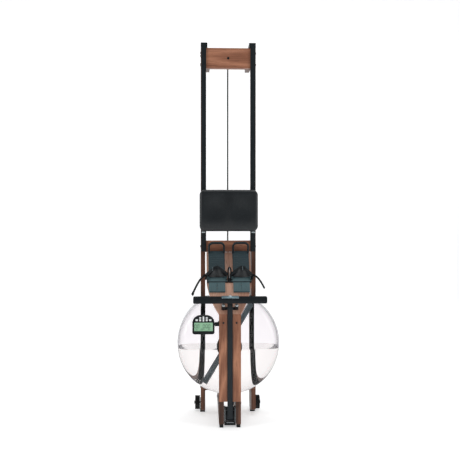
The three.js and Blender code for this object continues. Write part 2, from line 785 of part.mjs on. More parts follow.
// A foot strap arches from one end of the wing to the other. It widens into an instep pad that
// leans toward the heel in the middle.
function strapArch() {
  const steps = 14;
  const lean = THREE.MathUtils.degToRad(footStrapLean);
  const rest = basePlate + gap + footStrapThickness;
  const places = Array.from({ length: steps + 1 }, (_, i) => {
    const lift = Math.sin((Math.PI * i) / steps);
    return new THREE.Vector3(
      (wingWidth - 6) * (0.5 - i / steps), footStrapPlace + footStrapShift * lift, rest + footStrapRise * lift
    );
  });
  return band(places.map((place, i) => {
    const lift = Math.sin((Math.PI * i) / steps);
    const along = places[Math.min(i + 1, steps)].clone().sub(places[Math.max(i - 1, 0)]).normalize();
    const across = new THREE.Vector3(0, Math.cos(lean * lift), Math.sin(lean * lift));
    across.addScaledVector(along, -across.dot(along)).normalize();
    const width = footStrapWidth + (instepWidth - footStrapWidth) * lift;
    return { place, width, across, through: new THREE.Vector3().crossVectors(across, along) };
  }), footStrapThickness);
}

for (const [side, sign] of sides) {
  const rest = new THREE.Group();
  rest.position.x = sign * restOffset;
  board.add(rest);

  const toe = crossBlock(toePlateWidth, toePlateStart, wingEnd, gap, basePlate);
  const wing = crossBlock(wingWidth - 6, wingStart, wingEnd, gap, basePlate);
  const tongue = crossBlock(tongueWidth, wingStart, boardLength - 20, gap, basePlate);
  const holes = Array.from({ length: 5 }, (_, i) => {
    const hole = new THREE.CylinderGeometry(adjusterHole, adjusterHole, 3 * basePlate, 10);
    return hole.rotateX(Math.PI / 2).translate(0, toePlateStart + 12 + i * adjusterPitch, 0);
  });
  add(rest, `${side}_toe_plate`, cut(join(toe, wing, tongue), ...holes), greyPlastic);

  const plateBottom = basePlate + gap;
  const heelPlate = new THREE.ExtrudeGeometry(outline([
    [-heelPlateToeWidth / 2, heelPlateStart], [heelPlateToeWidth / 2, heelPlateStart],
    [heelPlateWidth / 2, heelPlateStart + heelPlateLength], [-heelPlateWidth / 2, heelPlateStart + heelPlateLength]
  ]), { depth: heelPlateThickness, bevelEnabled: false });
  heelPlate.translate(0, 0, plateBottom);
  const hoop = facePlate(hoopShape(), hoopDepth, hoopDepth);
  hoop.rotateX(-THREE.MathUtils.degToRad(hoopLean)).translate(0, hoopFoot, plateBottom + heelPlateThickness / 2);
  add(rest, `${side}_heel_plate`, join(heelPlate, hoop), slatePlastic);

  // The strap's free tail hangs away outward and down
  const tailRoot = new THREE.Vector3(sign * (wingWidth / 2 - 10), footStrapPlace - 2, basePlate + gap + 10);
  const bend = tailRoot.clone().add(new THREE.Vector3(sign * tailReach * 0.35, -tailDrop * 0.1, 18));
  const tip = tailRoot.clone().add(new THREE.Vector3(sign * tailReach, -tailDrop, 8));
  const tailCurve = new THREE.QuadraticBezierCurve3(tailRoot, bend, tip);
  const outward = new THREE.Vector3(0, 0, 1);
  const tail = band(tailCurve.getPoints(6).map((place, i) => ({
    place,
    width: tailWidth,
    across: new THREE.Vector3().crossVectors(tailCurve.getTangent(i / 6), outward).normalize(),
    through: outward
  })), footStrapThickness);
  add(rest, `${side}_foot_strap`, join(strapArch(), tail), webbing);
}

// ---- Handle ----

const handle = new THREE.Group();
handle.position.set(0, handleDepth, handleHeight);
machine.add(handle);

const halfHandle = handleLength / 2;
const endRound = 4;
add(handle, 'handle_bar', turnedAlongX([
  [0, -halfHandle], [handleRadius - endRound, -halfHandle], [handleRadius, -halfHandle + endRound],
  [handleRadius, halfHandle - endRound], [handleRadius - endRound, halfHandle], [0, halfHandle]
], 28), rubber);
const clipShape = new THREE.Shape();
const clipInner = handleRadius + gap;
const clipStart = THREE.MathUtils.degToRad(40);
const clipEnd = THREE.MathUtils.degToRad(150);
clipShape.absarc(0, 0, clipInner + clipThickness, clipStart, clipEnd);
clipShape.absarc(0, 0, clipInner, clipEnd, clipStart, true);
add(handle, 'handle_clip', sidePlate(1, 0, clipLength, clipShape).translate(-clipLength / 2, 0, 0), steel);

// ---- Seat ----

const seat = new THREE.Group();
machine.add(seat);
const padShape = roundedRectangle(seatWidth, seatLength, seatCornerRadius);
const pad = facePlate(padShape, seatBack, seatThickness, 8);
add(seat, 'seat_pad', pad, vinyl).position.z = seatBottom + seatLength / 2;

const cheekInner = trackOuter - trackWidth - bracketPlate;
const carriage = [crossBlock(
  2 * (cheekInner + bracketPlate), carriageFront, carriageFront + carriagePlate, seatBottom + 18,
  seatBottom + seatLength - 18
)];
const rollerOuter = trackMiddle + seatRollerWidth / 2;
for (const [, sign] of sides) {
  carriage.push(sideBlock(
    sign, cheekInner, cheekInner + bracketPlate, carriageFront, -trackThickness - 4, seatBottom + 18,
    seatBottom + seatLength - 18
  ));
  for (const height of axlePlace) {
    const stub = new THREE.CylinderGeometry(axleRadius, axleRadius, rollerOuter - cheekInner + 3, 12);
    stub.rotateZ(Math.PI / 2).translate(sign * (cheekInner + rollerOuter + 3) / 2, rollerAxleDepth, height);
    carriage.push(stub);
  }
}
add(seat, 'seat_carriage', join(...carriage), blackPlastic);

for (const [side, sign] of sides) {
  axlePlace.forEach((height, i) => {
    const wheelProfile = ring(axleRadius + gap, seatRollerRadius, -seatRollerWidth / 2, seatRollerWidth / 2);
    const name = `${side}_${i === 0 ? 'front' : 'rear'}_seat_roller`;
    add(seat, name, turnedAlongX(wheelProfile, 20), rubber).position.set(sign * trackMiddle, rollerAxleDepth, height);
  });
}

// ---- Transport wheels ----

for (const [side, sign] of sides) {
  const plateOuter = railOuter + gap + wheelPlate;
  const plate = sideBlock(sign, railOuter + gap, plateOuter, wheelDepth - 40, wheelDepth + 20, 0, wheelHeight + 24);
  const foot = sideBlock(sign, railInner, plateOuter, wheelDepth - 40, wheelDepth, 0, railFoot - gap);
  const wheelInner = plateOuter + 1;
  const pinEnd = wheelInner + wheelWidth + 1;
  const pin = new THREE.CylinderGeometry(wheelPinRadius, wheelPinRadius, pinEnd - railOuter - 1, 16);
  pin.rotateZ(Math.PI / 2).translate(sign * (pinEnd + railOuter + 1) / 2, wheelDepth, wheelHeight);
  const head = new THREE.CylinderGeometry(2 * wheelPinRadius, 2 * wheelPinRadius, 4, 6);
  head.rotateZ(Math.PI / 2).translate(sign * (pinEnd + 2 - gap), wheelDepth, wheelHeight);
  add(machine, `${side}_wheel_bracket`, join(plate, foot, pin, head), blackPlastic);

  const wheelProfile = [
    [wheelPinRadius + gap, -wheelWidth / 2], [wheelRadius - 3, -wheelWidth / 2], [wheelRadius, -wheelWidth / 2 + 3],
    [wheelRadius, wheelWidth / 2 - 3], [wheelRadius - 3, wheelWidth / 2], [wheelPinRadius + gap, wheelWidth / 2]
  ];
  const wheel = add(machine, `${side}_transport_wheel`, turnedAlongX(wheelProfile, 32), rubber);
  wheel.position.set(sign * (wheelInner + wheelWidth / 2), wheelDepth, wheelHeight);
}

// ---- Monitor ----

const monitor = new THREE.Group();
monitor.position.set(monitorCentre, 0, monitorBottom);
machine.add(monitor);

const halfMonitor = monitorWidth / 2;
const archStart = screenRise + screenHeight + 6;
const housingShape = new THREE.Shape();
housingShape.moveTo(halfMonitor - monitorCorner, 0);
housingShape.absarc(halfMonitor - monitorCorner, monitorCorner, monitorCorner, -Math.PI / 2, 0);
housingShape.lineTo(halfMonitor, archStart - 6);
housingShape.bezierCurveTo(
  halfMonitor - 2, archStart + 22, halfMonitor * 0.5, monitorHeight, halfMonitor * 0.25, monitorHeight
);
housingShape.lineTo(-halfMonitor * 0.25, monitorHeight);
housingShape.bezierCurveTo(
  -halfMonitor * 0.5, monitorHeight, -halfMonitor + 2, archStart + 22, -halfMonitor, archStart - 6
);
housingShape.lineTo(-halfMonitor, monitorCorner);
housingShape.absarc(-halfMonitor + monitorCorner, monitorCorner, monitorCorner, Math.PI, 1.5 * Math.PI);
const housing = facePlate(housingShape, monitorFront + monitorThickness, monitorThickness);
const recess = crossBlock(
  screenWidth + 2 * gap, monitorFront - 1, monitorFront + screenThickness + gap,
  screenRise - gap, screenRise + screenHeight + gap
);

// The keys fan out over the screen: a tall one in the middle, two pairs and two outer ones
const keyPlan = [
  ['centre_key', 0, 80, 8, 26],
  ['upper_left_key', -17, 85.5, 10, 8],
  ['upper_right_key', 17, 85.5, 10, 8],
  ['lower_left_key', -17, 73.5, 10, 10],
  ['lower_right_key', 17, 73.5, 10, 10],
  ['outer_left_key', -35, 74, 12, 9],
  ['outer_right_key', 35, 74, 12, 9]
];
const keyStand = 1; // height of the keys over the housing
const pockets = keyPlan.map(([, x, z, width, height]) => block(
  x - width / 2 - gap, x + width / 2 + gap, monitorFront - 1,
  monitorFront - keyStand + keyThickness + keyTravel + gap, z - height / 2 - gap, z + height / 2 + gap
));
const pivotRadius = 5;
const pivotDepth = monitorFront + monitorThickness - 13;
const pivotHeight = armRise + armHeight / 2;
const pivotBore = new THREE.CylinderGeometry(pivotRadius + gap, pivotRadius + gap, 24, 16);
pivotBore.rotateZ(Math.PI / 2).translate(halfMonitor - 11, pivotDepth, pivotHeight);
add(monitor, 'monitor_housing', cut(housing, recess, ...pockets, pivotBore), blackPlastic);

const screen = crossBlock(
  screenWidth, monitorFront + gap, monitorFront + screenThickness, screenRise, screenRise + screenHeight
);
add(monitor, 'monitor_screen', screen, screenGreen);
for (const [name, x, z, width, height] of keyPlan) {
  const front = monitorFront - keyStand;
  const key = block(x - width / 2, x + width / 2, front, front + keyThickness, z - height / 2, z + height / 2);
  add(monitor, name, key, whiteKey);
}

const armStart = halfMonitor + 1;
const armEnd = -monitorCentre - deckHalf - gap;
const armBar = block(
  armStart, armEnd, pivotDepth - armThickness / 2, pivotDepth + armThickness / 2, armRise, armRise + armHeight
);
const armFoot = block(
  armEnd - 5, armEnd, pivotDepth - armThickness / 2, deckFront + deckThickness - 2, armRise, armRise + armHeight
);
const pivot = new THREE.CylinderGeometry(pivotRadius, pivotRadius, 20 + 4, 16);
pivot.rotateZ(Math.PI / 2).translate(armStart - 8, pivotDepth, pivotHeight);
add(monitor, 'monitor_arm', join(armBar, armFoot, pivot), blackPlastic);

// ---- Place the whole machine with its box centred over the origin ----

const reach = new THREE.Box3().setFromObject(machine);
machine.position.y = -(reach.min.y + reach.max.y) / 2;

export default machine;
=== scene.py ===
# %% [markdown]
# # A water rowing machine, stored on its front end
# The machine's hard parts come ready made as a fixed frame. This lesson dresses them: it gives each
# board, strap and moulding its own finish, fills the tank, covers the seat, and adds the small
# pieces that a workshop would fit by hand. It starts by loading the frame and keeping its box.

# %% Load the frame
import math
import bmesh
import bpy
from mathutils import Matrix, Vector


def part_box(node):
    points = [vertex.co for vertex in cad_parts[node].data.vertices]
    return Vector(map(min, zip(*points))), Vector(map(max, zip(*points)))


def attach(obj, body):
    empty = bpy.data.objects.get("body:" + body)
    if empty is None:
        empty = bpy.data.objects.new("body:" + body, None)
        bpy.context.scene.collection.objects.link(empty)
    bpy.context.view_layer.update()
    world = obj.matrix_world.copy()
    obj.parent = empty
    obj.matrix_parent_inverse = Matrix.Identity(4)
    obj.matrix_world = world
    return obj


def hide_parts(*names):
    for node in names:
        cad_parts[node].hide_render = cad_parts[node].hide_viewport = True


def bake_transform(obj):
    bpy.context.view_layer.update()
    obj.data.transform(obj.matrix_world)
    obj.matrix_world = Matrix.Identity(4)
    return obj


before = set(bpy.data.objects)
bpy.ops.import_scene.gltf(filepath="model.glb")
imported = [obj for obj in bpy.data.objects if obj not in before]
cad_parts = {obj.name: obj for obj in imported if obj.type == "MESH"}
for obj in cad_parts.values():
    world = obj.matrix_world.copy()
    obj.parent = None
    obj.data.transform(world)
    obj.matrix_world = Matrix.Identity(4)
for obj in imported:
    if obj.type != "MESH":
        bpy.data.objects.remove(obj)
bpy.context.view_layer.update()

workshop = bpy.context.scene

# %% [markdown]
# Every later piece is placed from the frame's own corners. The maker measures depth from the front
# faces of the rails, sideways from the middle and upward from the floor, all in millimetres. One
# small function turns such a measure into the scene's metres, and a second one does the same for
# places on the sloping footboard, counted up the board and outward from its face.

# %% Two ways to measure a place
rail_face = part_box("left_rail")[0].y
slope = Vector((0, 225, 320)).normalized()
outward = Vector((0, -slope.z, slope.y))


def at(x, y, z):
    """A place in the maker's millimetres, in the scene's metres."""
    return Vector((x / 1000, rail_face + y / 1000, z / 1000))


board_corner = at(0, -235, 597)


def on_board(x, up, out):
    """A place on the footboard: sideways, up the slope, and out from its face."""
    return board_corner + Vector((x / 1000, 0, 0)) + slope * (up / 1000) + outward * (out / 1000)


sides = (("left", -1), ("right", 1))
foot_middle = 66.5  # from the middle of the board to each foot rest
print("rails' front faces at y =", round(rail_face, 4))

# %% [markdown]
# ## Camera
# The machine is looked at almost straight on, from about four metres and from half its height,
# so the uprights stay parallel. A 56 mm lens frames it with a little air around it.

# %% Camera
camera = bpy.data.objects.new("camera", bpy.data.cameras.new("camera"))
workshop.collection.objects.link(camera)
camera.data.sensor_width = 36
camera.data.lens = 56.04
camera.location = at(-158, -4000, 1040)
camera.rotation_euler = (math.radians(90), 0, math.radians(-2.4))
workshop.camera = camera
print("camera", tuple(round(c, 3) for c in camera.location))

# %% [markdown]
# ## Two makers of shapes
# Almost every added piece is one of two kinds: a section carried along a line, such as a strap, or
# a section turned about an axis, such as a tyre. Both come from one function that lofts a skin over
# a row of rings. It also lays out a UV map in metres, so a weave keeps its true size.

# %% Loft and turn


def dress(obj, finish, body, crease=35):
    """Puts the finish on, smooths the skin up to a crease angle, and lets the piece ride its body."""
    workshop.collection.objects.link(obj)
    obj.data.materials.append(finish)
    obj.data.polygons.foreach_set("use_smooth", [True] * len(obj.data.polygons))
    obj.data.set_sharp_from_angle(angle=math.radians(crease))
    if body:
        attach(obj, body)
    return obj


def loft(name, rings, finish, body, around_loop=False, crease=35, caps=True):
    """A skin over rings of points. With around_loop the last ring meets the first."""
    count = len(rings[0])
    mesh = bpy.data.meshes.new(name)
    form = bmesh.new()
    uv = form.loops.layers.uv.new("fabric")
    rows = [[form.verts.new(p) for p in ring] for ring in rings]
    along = [0.0]
    for a, b in zip(rings, rings[1:]):
        along.append(along[-1] + (Vector(b[0]) - Vector(a[0])).length)
    round_it = [0.0]
    middle = rings[len(rings) // 2]
    for i in range(count):
        round_it.append(round_it[-1] + (Vector(middle[(i + 1) % count]) - Vector(middle[i])).length)
    steps = len(rows) if around_loop else len(rows) - 1
    for i in range(steps):
        j = (i + 1) % len(rows)
        far = along[i + 1] if i + 1 < len(along) else along[-1] + (
            Vector(rings[0][0]) - Vector(rings[-1][0])
        ).length
        for k in range(count):
            m = (k + 1) % count
            corners = (rows[i][k], rows[i][m], rows[j][m], rows[j][k])
            face = form.faces.new(corners)
            places = (
                (round_it[k], along[i]), (round_it[k + 1], along[i]), (round_it[k + 1], far),
                (round_it[k], far)
            )
            for loop, place in zip(face.loops, places):
                loop[uv].uv = place
    if caps and not around_loop:
        form.faces.new(list(reversed(rows[0])))
        form.faces.new(rows[-1])
    bmesh.ops.remove_doubles(form, verts=form.verts, dist=1e-6)
    bmesh.ops.recalc_face_normals(form, faces=form.faces)
    form.to_mesh(mesh)
    form.free()
    return dress(bpy.data.objects.new(name, mesh), finish, body, crease)


def turn(name, profile, centre, axis, finish, body, steps=64, crease=35):
    """Turns a closed profile of (radius, offset) pairs in mm about an axis through centre.
    A third entry of 6 makes that ring a hexagon."""
    axis = Vector(axis).normalized()
    side = axis.orthogonal().normalized()
    other = axis.cross(side)
    rings = []
    for i in range(steps):
        angle = 2 * math.pi * i / steps
        ring = []
        for entry in profile:
            radius = entry[0]
            if len(entry) > 2:
                radius /= math.cos((angle % (math.pi / 3)) - math.pi / 6)
            spoke = side * math.cos(angle) + other * math.sin(angle)
            ring.append(centre + spoke * (radius / 1000) + axis * (entry[1] / 1000))
        rings.append(ring)
    return loft(name, rings, finish, body, around_loop=True, crease=crease)


def band_section(corners=3):
    """A flat band's rounded section: each point's corner, and its direction from that corner."""
    points = []
    for a, b, start in ((0.5, 0.5, 0), (-0.5, 0.5, 90), (-0.5, -0.5, 180), (0.5, -0.5, 270)):
        for i in range(corners + 1):
            angle = math.radians(start + 90 * i / corners)
            points.append((a, b, math.cos(angle), math.sin(angle)))
    return points


def strap(name, stations, finish, body, rounding=0.45, caps=True):
    """A band through (place, across, width mm, thickness mm) stations."""
    rings = []
    for i, (place, across, width, thick) in enumerate(stations):
        ahead = Vector(stations[min(i + 1, len(stations) - 1)][0]) - Vector(stations[max(i - 1, 0)][0])
        across = Vector(across) - ahead * (Vector(across).dot(ahead) / ahead.length_squared)
        across.normalize()
        through = across.cross(ahead).normalized()
        radius = min(thick, width) * rounding
        ring = []
        for a, b, c, s in band_section():
            u = a * 2 * (width / 2 - radius) + c * radius
            t = b * 2 * (thick / 2 - radius) + s * radius
            ring.append(place + across * (u / 1000) + through * (t / 1000))
        rings.append(ring)
    return loft(name, rings, finish, body, caps=caps)


def bar(name, low, high, finish, body, rounding=1.0, turn_to=None):
    """A block between two corners in mm with rolled edges, in the maker's measure or on the board."""
    place = turn_to or at
    form = bmesh.new()
    bmesh.ops.create_cube(form, size=1)
    for vert in form.verts:
        vert.co = Vector([(a + b) / 2 + c * (b - a) for a, b, c in zip(low, high, vert.co)])
    bmesh.ops.bevel(
        form, geom=list(
            form.edges
        ), offset=rounding, segments=3, profile=0.5, affect="EDGES", clamp_overlap=True
    )
    for vert in form.verts:
        vert.co = place(*vert.co)
    bmesh.ops.recalc_face_normals(form, faces=form.faces)
    mesh = bpy.data.meshes.new(name)
    form.to_mesh(mesh)
    form.free()
    return dress(bpy.data.objects.new(name, mesh), finish, body, crease=50)


print("shape makers ready")

# %% [markdown]
# ## Shared surface effects
# Each effect that several finishes need is one node group with named sockets. The first rolls the
# sharp corner of a sawn or moulded edge in the shading, and gives a mask of where hands and knocks
# rub it bright. The real edges have a radius of a millimetre or two, too small to be worth modelling.

# %% Soften edges


def effect(name, inputs, outputs):
    """An empty node group with named float, vector or colour sockets."""
    tree = bpy.data.node_groups.new(name, "ShaderNodeTree")
    for label, kind, value in inputs:
        socket = tree.interface.new_socket(label, in_out="INPUT", socket_type=kind)
        if value is not None:
            socket.default_value = value
    for label, kind in outputs:
        tree.interface.new_socket(label, in_out="OUTPUT", socket_type=kind)
    return tree, tree.nodes.new("NodeGroupInput").outputs, tree.nodes.new("NodeGroupOutput").inputs


def add_node(tree, kind, links=(), **settings):
    """A shader node with its settings, its input values and its incoming links."""
    made = tree.nodes.new(kind)
    for key, value in settings.items():
        setattr(made, key, value)
    for socket, source in dict(links).items():
        if isinstance(source, bpy.types.NodeSocket):
            tree.links.new(source, made.inputs[socket])
        else:
            made.inputs[socket].default_value = source
    return made


def reckon(tree, operation, a, b=0.0, plus=0.5, clamp=False):
    """One Math node, by operation and two values or sockets. MULTIPLY_ADD then adds plus."""
    links = {0: a, 1: b, 2: plus}
    return add_node(tree, "ShaderNodeMath", links, operation=operation, use_clamp=clamp).outputs[0]


FLOAT, VECTOR = "NodeSocketFloat", "NodeSocketVector"
soft_edge, taken, given = effect(
    "soft_edge", [("Radius", FLOAT, 0.0015)], [("Normal", VECTOR), ("Edge", FLOAT)]
)
rolled = add_node(soft_edge, "ShaderNodeBevel", {"Radius": taken["Radius"]}, samples=4)
flat = add_node(soft_edge, "ShaderNodeNewGeometry")
facing = add_node(
    soft_edge, "ShaderNodeVectorMath", {
        0: rolled.outputs["Normal"], 1: flat.outputs["Normal"]
    }, operation="DOT_PRODUCT"
)
rubbed = add_node(
    soft_edge, "ShaderNodeMapRange",
    {"Value": facing.outputs["Value"], "From Min": 0.985, "From Max": 0.86, "To Min": 0.0, "To Max": 1.0}
)
soft_edge.links.new(rolled.outputs["Normal"], given["Normal"])
soft_edge.links.new(rubbed.outputs["Result"], given["Edge"])
print("effect", soft_edge.name)

# %% [markdown]
# Wood is built from three layers, all stretched along the trunk: broad growth rings that the saw
# cuts into flames, fine fibres, and short dark pores. The rings are contour lines of a slow noise,
# which closes them into the arches of a plain-sawn board. A few small knots pull the rings aside.

# %% Wood grain
wood_grain, taken, given = effect(
    "wood_grain",
    [("Vector", VECTOR, None), ("Rings", FLOAT, 9.0), ("Scale", FLOAT, 7.0)],
    [("Ring", FLOAT), ("Fibre", FLOAT), ("Pore", FLOAT), ("Knot", FLOAT)]
)
trunk = add_node(
    wood_grain, "ShaderNodeVectorMath", {0: taken["Vector"], 1: (1.0, 1.0, 0.09)}, operation="MULTIPLY"
).outputs[0]
slow = add_node(
    wood_grain, "ShaderNodeTexNoise",
    {"Vector": trunk, "Scale": taken["Scale"], "Detail": 1.5, "Roughness": 0.4}
)
waves = reckon(wood_grain, "MULTIPLY", slow.outputs["Fac"], taken["Rings"])
waves = reckon(wood_grain, "MULTIPLY", waves, 2 * math.pi)
ring = reckon(wood_grain, "MULTIPLY_ADD", reckon(wood_grain, "SINE", waves), 0.5, 0.5)
ring = reckon(wood_grain, "POWER", ring, 1.8)
fine = add_node(
    wood_grain, "ShaderNodeVectorMath", {0: taken["Vector"], 1: (1.0, 1.0, 0.02)}, operation="MULTIPLY"
).outputs[0]
fibre = add_node(
    wood_grain, "ShaderNodeTexNoise", {"Vector": fine, "Scale": 420.0, "Detail": 3.0, "Roughness": 0.6}
)
dots = add_node(wood_grain, "ShaderNodeTexNoise", {"Vector": fine, "Scale": 1100.0, "Detail": 1.0})
pore = add_node(
    wood_grain, "ShaderNodeMapRange", {"Value": dots.outputs["Fac"], "From Min": 0.62, "From Max": 0.7}
)
knots = add_node(wood_grain, "ShaderNodeTexVoronoi", {"Vector": trunk, "Scale": 9.0, "Randomness": 1.0})
knot = add_node(
    wood_grain, "ShaderNodeMapRange", {"Value": knots.outputs["Distance"], "From Min": 0.1, "From Max": 0.03}
)
wood_grain.links.new(ring, given["Ring"])
wood_grain.links.new(fibre.outputs["Fac"], given["Fibre"])
wood_grain.links.new(pore.outputs["Result"], given["Pore"])
wood_grain.links.new(knot.outputs["Result"], given["Knot"])
print("effect", wood_grain.name)

# %% [markdown]
# Moulded plastic and rubber carry a fine spark-eroded grain from the mould, and years of hands and
# dust lay broad smudges over it. Both masks come from one group, with the grain's size as an input.

# %% Moulded grain and smudges
moulding, taken, given = effect(
    "moulding", [("Vector", VECTOR, None), ("Scale", FLOAT, 1600.0)],
    [("Grain", FLOAT), ("Smudge", FLOAT), ("Dust", FLOAT)]
)
grain = add_node(
    moulding, "ShaderNodeTexNoise", {"Vector": taken["Vector"], "Scale": taken["Scale"], "Detail": 2.0}
)
smudge = add_node(
    moulding, "ShaderNodeTexNoise",
    {"Vector": taken["Vector"], "Scale": 16.0, "Detail": 5.0, "Roughness": 0.62}
)
specks = add_node(moulding, "ShaderNodeTexNoise", {"Vector": taken["Vector"], "Scale": 380.0, "Detail": 2.0})
dust = add_node(
    moulding, "ShaderNodeMapRange", {"Value": specks.outputs["Fac"], "From Min": 0.58, "From Max": 0.74}
)
moulding.links.new(grain.outputs["Fac"], given["Grain"])
moulding.links.new(smudge.outputs["Fac"], given["Smudge"])
moulding.links.new(dust.outputs["Result"], given["Dust"])
print("effect", moulding.name)

# %% [markdown]
# Webbing is a plain weave of flat yarns about 1.3 mm wide. Two sets of waves cross at right angles,
# and a checker chooses which one lies on top, so each yarn dives under the next.

# %% Weave
weave, taken, given = effect(
    "weave", [("Vector", VECTOR, None), ("Yarns per metre", FLOAT, 760.0)], [("Height", FLOAT)]
)
cloth = add_node(
    weave, "ShaderNodeVectorMath", {0: taken["Vector"], "Scale": taken["Yarns per metre"]}, operation="SCALE"
).outputs[0]
split = add_node(weave, "ShaderNodeSeparateXYZ", {0: cloth})
warp = reckon(weave, "ABSOLUTE", reckon(weave, "SINE", reckon(weave, "MULTIPLY", split.outputs[0], math.pi)))
weft = reckon(weave, "ABSOLUTE", reckon(weave, "SINE", reckon(weave, "MULTIPLY", split.outputs[1], math.pi)))
over = add_node(
    weave, "ShaderNodeTexChecker", {
        "Vector": cloth, "Color1": (1, 1, 1, 1), "Color2": (0, 0, 0, 1), "Scale": 1.0
    }
)
top = add_node(weave, "ShaderNodeMix", {0: over.outputs["Fac"], 2: warp, 3: weft})
weave.links.new(top.outputs[0], given["Height"])
print("effect", weave.name)

# %% [markdown]
# ## Finishes
# The timber is one stained hardwood in three shades: dark rails, a warm brown deck and a paler
# footboard. Each board gets its grain along its own length, so the same recipe is turned to suit.

# %% Timber


def hue(code):
    """A colour from its six-digit code, in linear light."""
    parts = [int(code[i:i + 2], 16) / 255 for i in (0, 2, 4)]
    return tuple(((p + 0.055) / 1.055) ** 2.4 if p > 0.04 else p / 12.92 for p in parts) + (1.0,)


def scaled(colour, share):
    """A colour made darker or lighter by a share, kept within white."""
    return tuple(min(1, c * share) for c in colour[:3]) + (1,)


def new_finish(name):
    made = bpy.data.materials.new(name)
    made.use_nodes = True
    tree = made.node_tree
    return made, tree, tree.nodes["Principled BSDF"].inputs


def use(tree, group, links):
    return add_node(tree, "ShaderNodeGroup", links, node_tree=group).outputs


def mix(tree, share, a, b):
    return add_node(tree, "ShaderNodeMix", {0: share, 6: a, 7: b}, data_type="RGBA").outputs[2]


def lay(tree, skin, tone, gloss, relief, depth, strength, edge=None):
    """Joins a finish's colour, gloss and relief to the skin. The relief's depth is in metres."""
    links = {"Height": relief, "Distance": depth, "Strength": strength}
    if edge:
        links["Normal"] = edge["Normal"]
    bump = add_node(tree, "ShaderNodeBump", links)
    for socket, source in (("Base Color", tone), ("Roughness", gloss), ("Normal", bump.outputs[0])):
        tree.links.new(source, skin[socket])


def place_of(tree, kind="Object"):
    return add_node(tree, "ShaderNodeTexCoord").outputs[kind]


def timber(name, dark, pale, turn_by=(0, 0, 0), rings=9.0, scale=7.0, shift=(0, 0, 0)):
    made, tree, skin = new_finish(name)
    along = add_node(
        tree, "ShaderNodeMapping", {"Vector": place_of(tree), "Location": shift, "Rotation": turn_by}
    ).outputs[0]
    grain = use(tree, wood_grain, {"Vector": along, "Rings": rings, "Scale": scale})
    edge = use(tree, soft_edge, {"Radius": 0.0016})
    haze = use(tree, moulding, {"Vector": along, "Scale": 900.0})
    bands = reckon(tree, "MULTIPLY_ADD", grain["Ring"], 0.6, -0.45)
    share = reckon(tree, "MULTIPLY_ADD", grain["Fibre"], 1.4, bands, clamp=True)
    tone = mix(tree, share, hue(dark), hue(pale))
    tone = mix(tree, reckon(tree, "MULTIPLY", grain["Pore"], 0.8), tone, scaled(hue(dark), 0.35))
    tone = mix(tree, reckon(tree, "MULTIPLY", grain["Knot"], 0.75), tone, scaled(hue(dark), 0.3))
    tone = mix(tree, reckon(tree, "MULTIPLY", edge["Edge"], 0.45), tone, hue(pale))
    gloss = reckon(tree, "MULTIPLY_ADD", haze["Smudge"], 0.3, 0.3)
    relief = reckon(tree, "SUBTRACT", reckon(tree, "MULTIPLY", grain["Fibre"], 0.5), grain["Pore"])
    lay(tree, skin, tone, gloss, relief, 0.0002, 0.5, edge)
    skin["Specular IOR Level"].default_value = 0.3
    return made


upright_grain, cross_grain = (0, 0, 0), (0, math.radians(90), 0)
slope_grain = (math.atan2(slope.y, slope.z), 0, 0)
rail_timber = timber("rail_timber", "33211a", "6e4836", upright_grain, 8.0, 9.0)
rail_cross_timber = timber("rail_cross_timber", "33211a", "6e4836", cross_grain, 8.0, 9.0)
deck_timber = timber("deck_timber", "7a4c38", "bd8466", upright_grain, 10.0, 8.0, (0.3, 0.2, 0.1))
cross_timber = timber("cross_timber", "7a4c38", "b67e62", cross_grain, 7.0, 8.0, (0.1, 0.5, 0.2))
board_timber = timber("board_timber", "a87560", "dcae96", slope_grain, 7.0, 6.0, (0.2, 0.1, 0.4))
print("timber:", rail_timber.name, deck_timber.name, board_timber.name)

# %% [markdown]
# Plastics and rubber share a recipe too: a base colour that drifts a little with handling, edges
# rubbed paler, a skin of mould grain as bump, and a touch of dust. Only the numbers differ between
# the glossy housings, the satin foot rests and the dull rubber.

# %% Plastic, rubber and foam


def moulded(name, base, rubbed_to, rough, grain=1500.0, depth=0.00012, rubbed_by=0.5, dusty=0.12, level=0.35):
    made, tree, skin = new_finish(name)
    masks = use(tree, moulding, {"Vector": place_of(tree), "Scale": grain})
    edge = use(tree, soft_edge, {"Radius": 0.0012})
    tone = mix(tree, masks["Smudge"], scaled(hue(base), 0.78), scaled(hue(base), 1.2))
    tone = mix(tree, reckon(tree, "MULTIPLY", masks["Dust"], dusty), tone, hue("a9a49c"))
    tone = mix(tree, reckon(tree, "MULTIPLY", edge["Edge"], rubbed_by), tone, hue(rubbed_to))
    gloss = reckon(tree, "MULTIPLY_ADD", masks["Smudge"], 0.34, rough - 0.17, clamp=True)
    lay(tree, skin, tone, gloss, masks["Grain"], depth, 0.6, edge)
    skin["Specular IOR Level"].default_value = level
    return made


black_moulding = moulded("black_moulding", "0e1316", "2c353a", 0.48, dusty=0.05, level=0.22)
track_moulding = moulded("track_moulding", "131a1e", "36444a", 0.42, dusty=0.05, level=0.28)
slate_moulding = moulded("slate_moulding", "34464c", "64797e", 0.5, grain=1100.0, level=0.28)
grey_moulding = moulded("grey_moulding", "5b757a", "94acaf", 0.5, grain=1100.0, level=0.28)
tyre_rubber = moulded(
    "tyre_rubber", "141617", "34383a", 0.75, grain=700.0, depth=0.0003, dusty=0.3, level=0.25
)
grip_foam = moulded(
    "grip_foam", "12191d", "232e33", 0.72, grain=520.0, depth=0.0006, rubbed_by=0.2, dusty=0.03, level=0.22
)
seal_rubber = moulded("seal_rubber", "474f54", "6f787c", 0.55, grain=900.0, dusty=0.04)
lining_rubber = moulded(
    "lining_rubber", "06080a", "12171a", 0.7, grain=900.0, rubbed_by=0.1, dusty=0.0, level=0.1
)
pale_moulding = moulded("pale_moulding", "c3cdd0", "eef2f2", 0.4, grain=1300.0, rubbed_by=0.3, dusty=0.05)
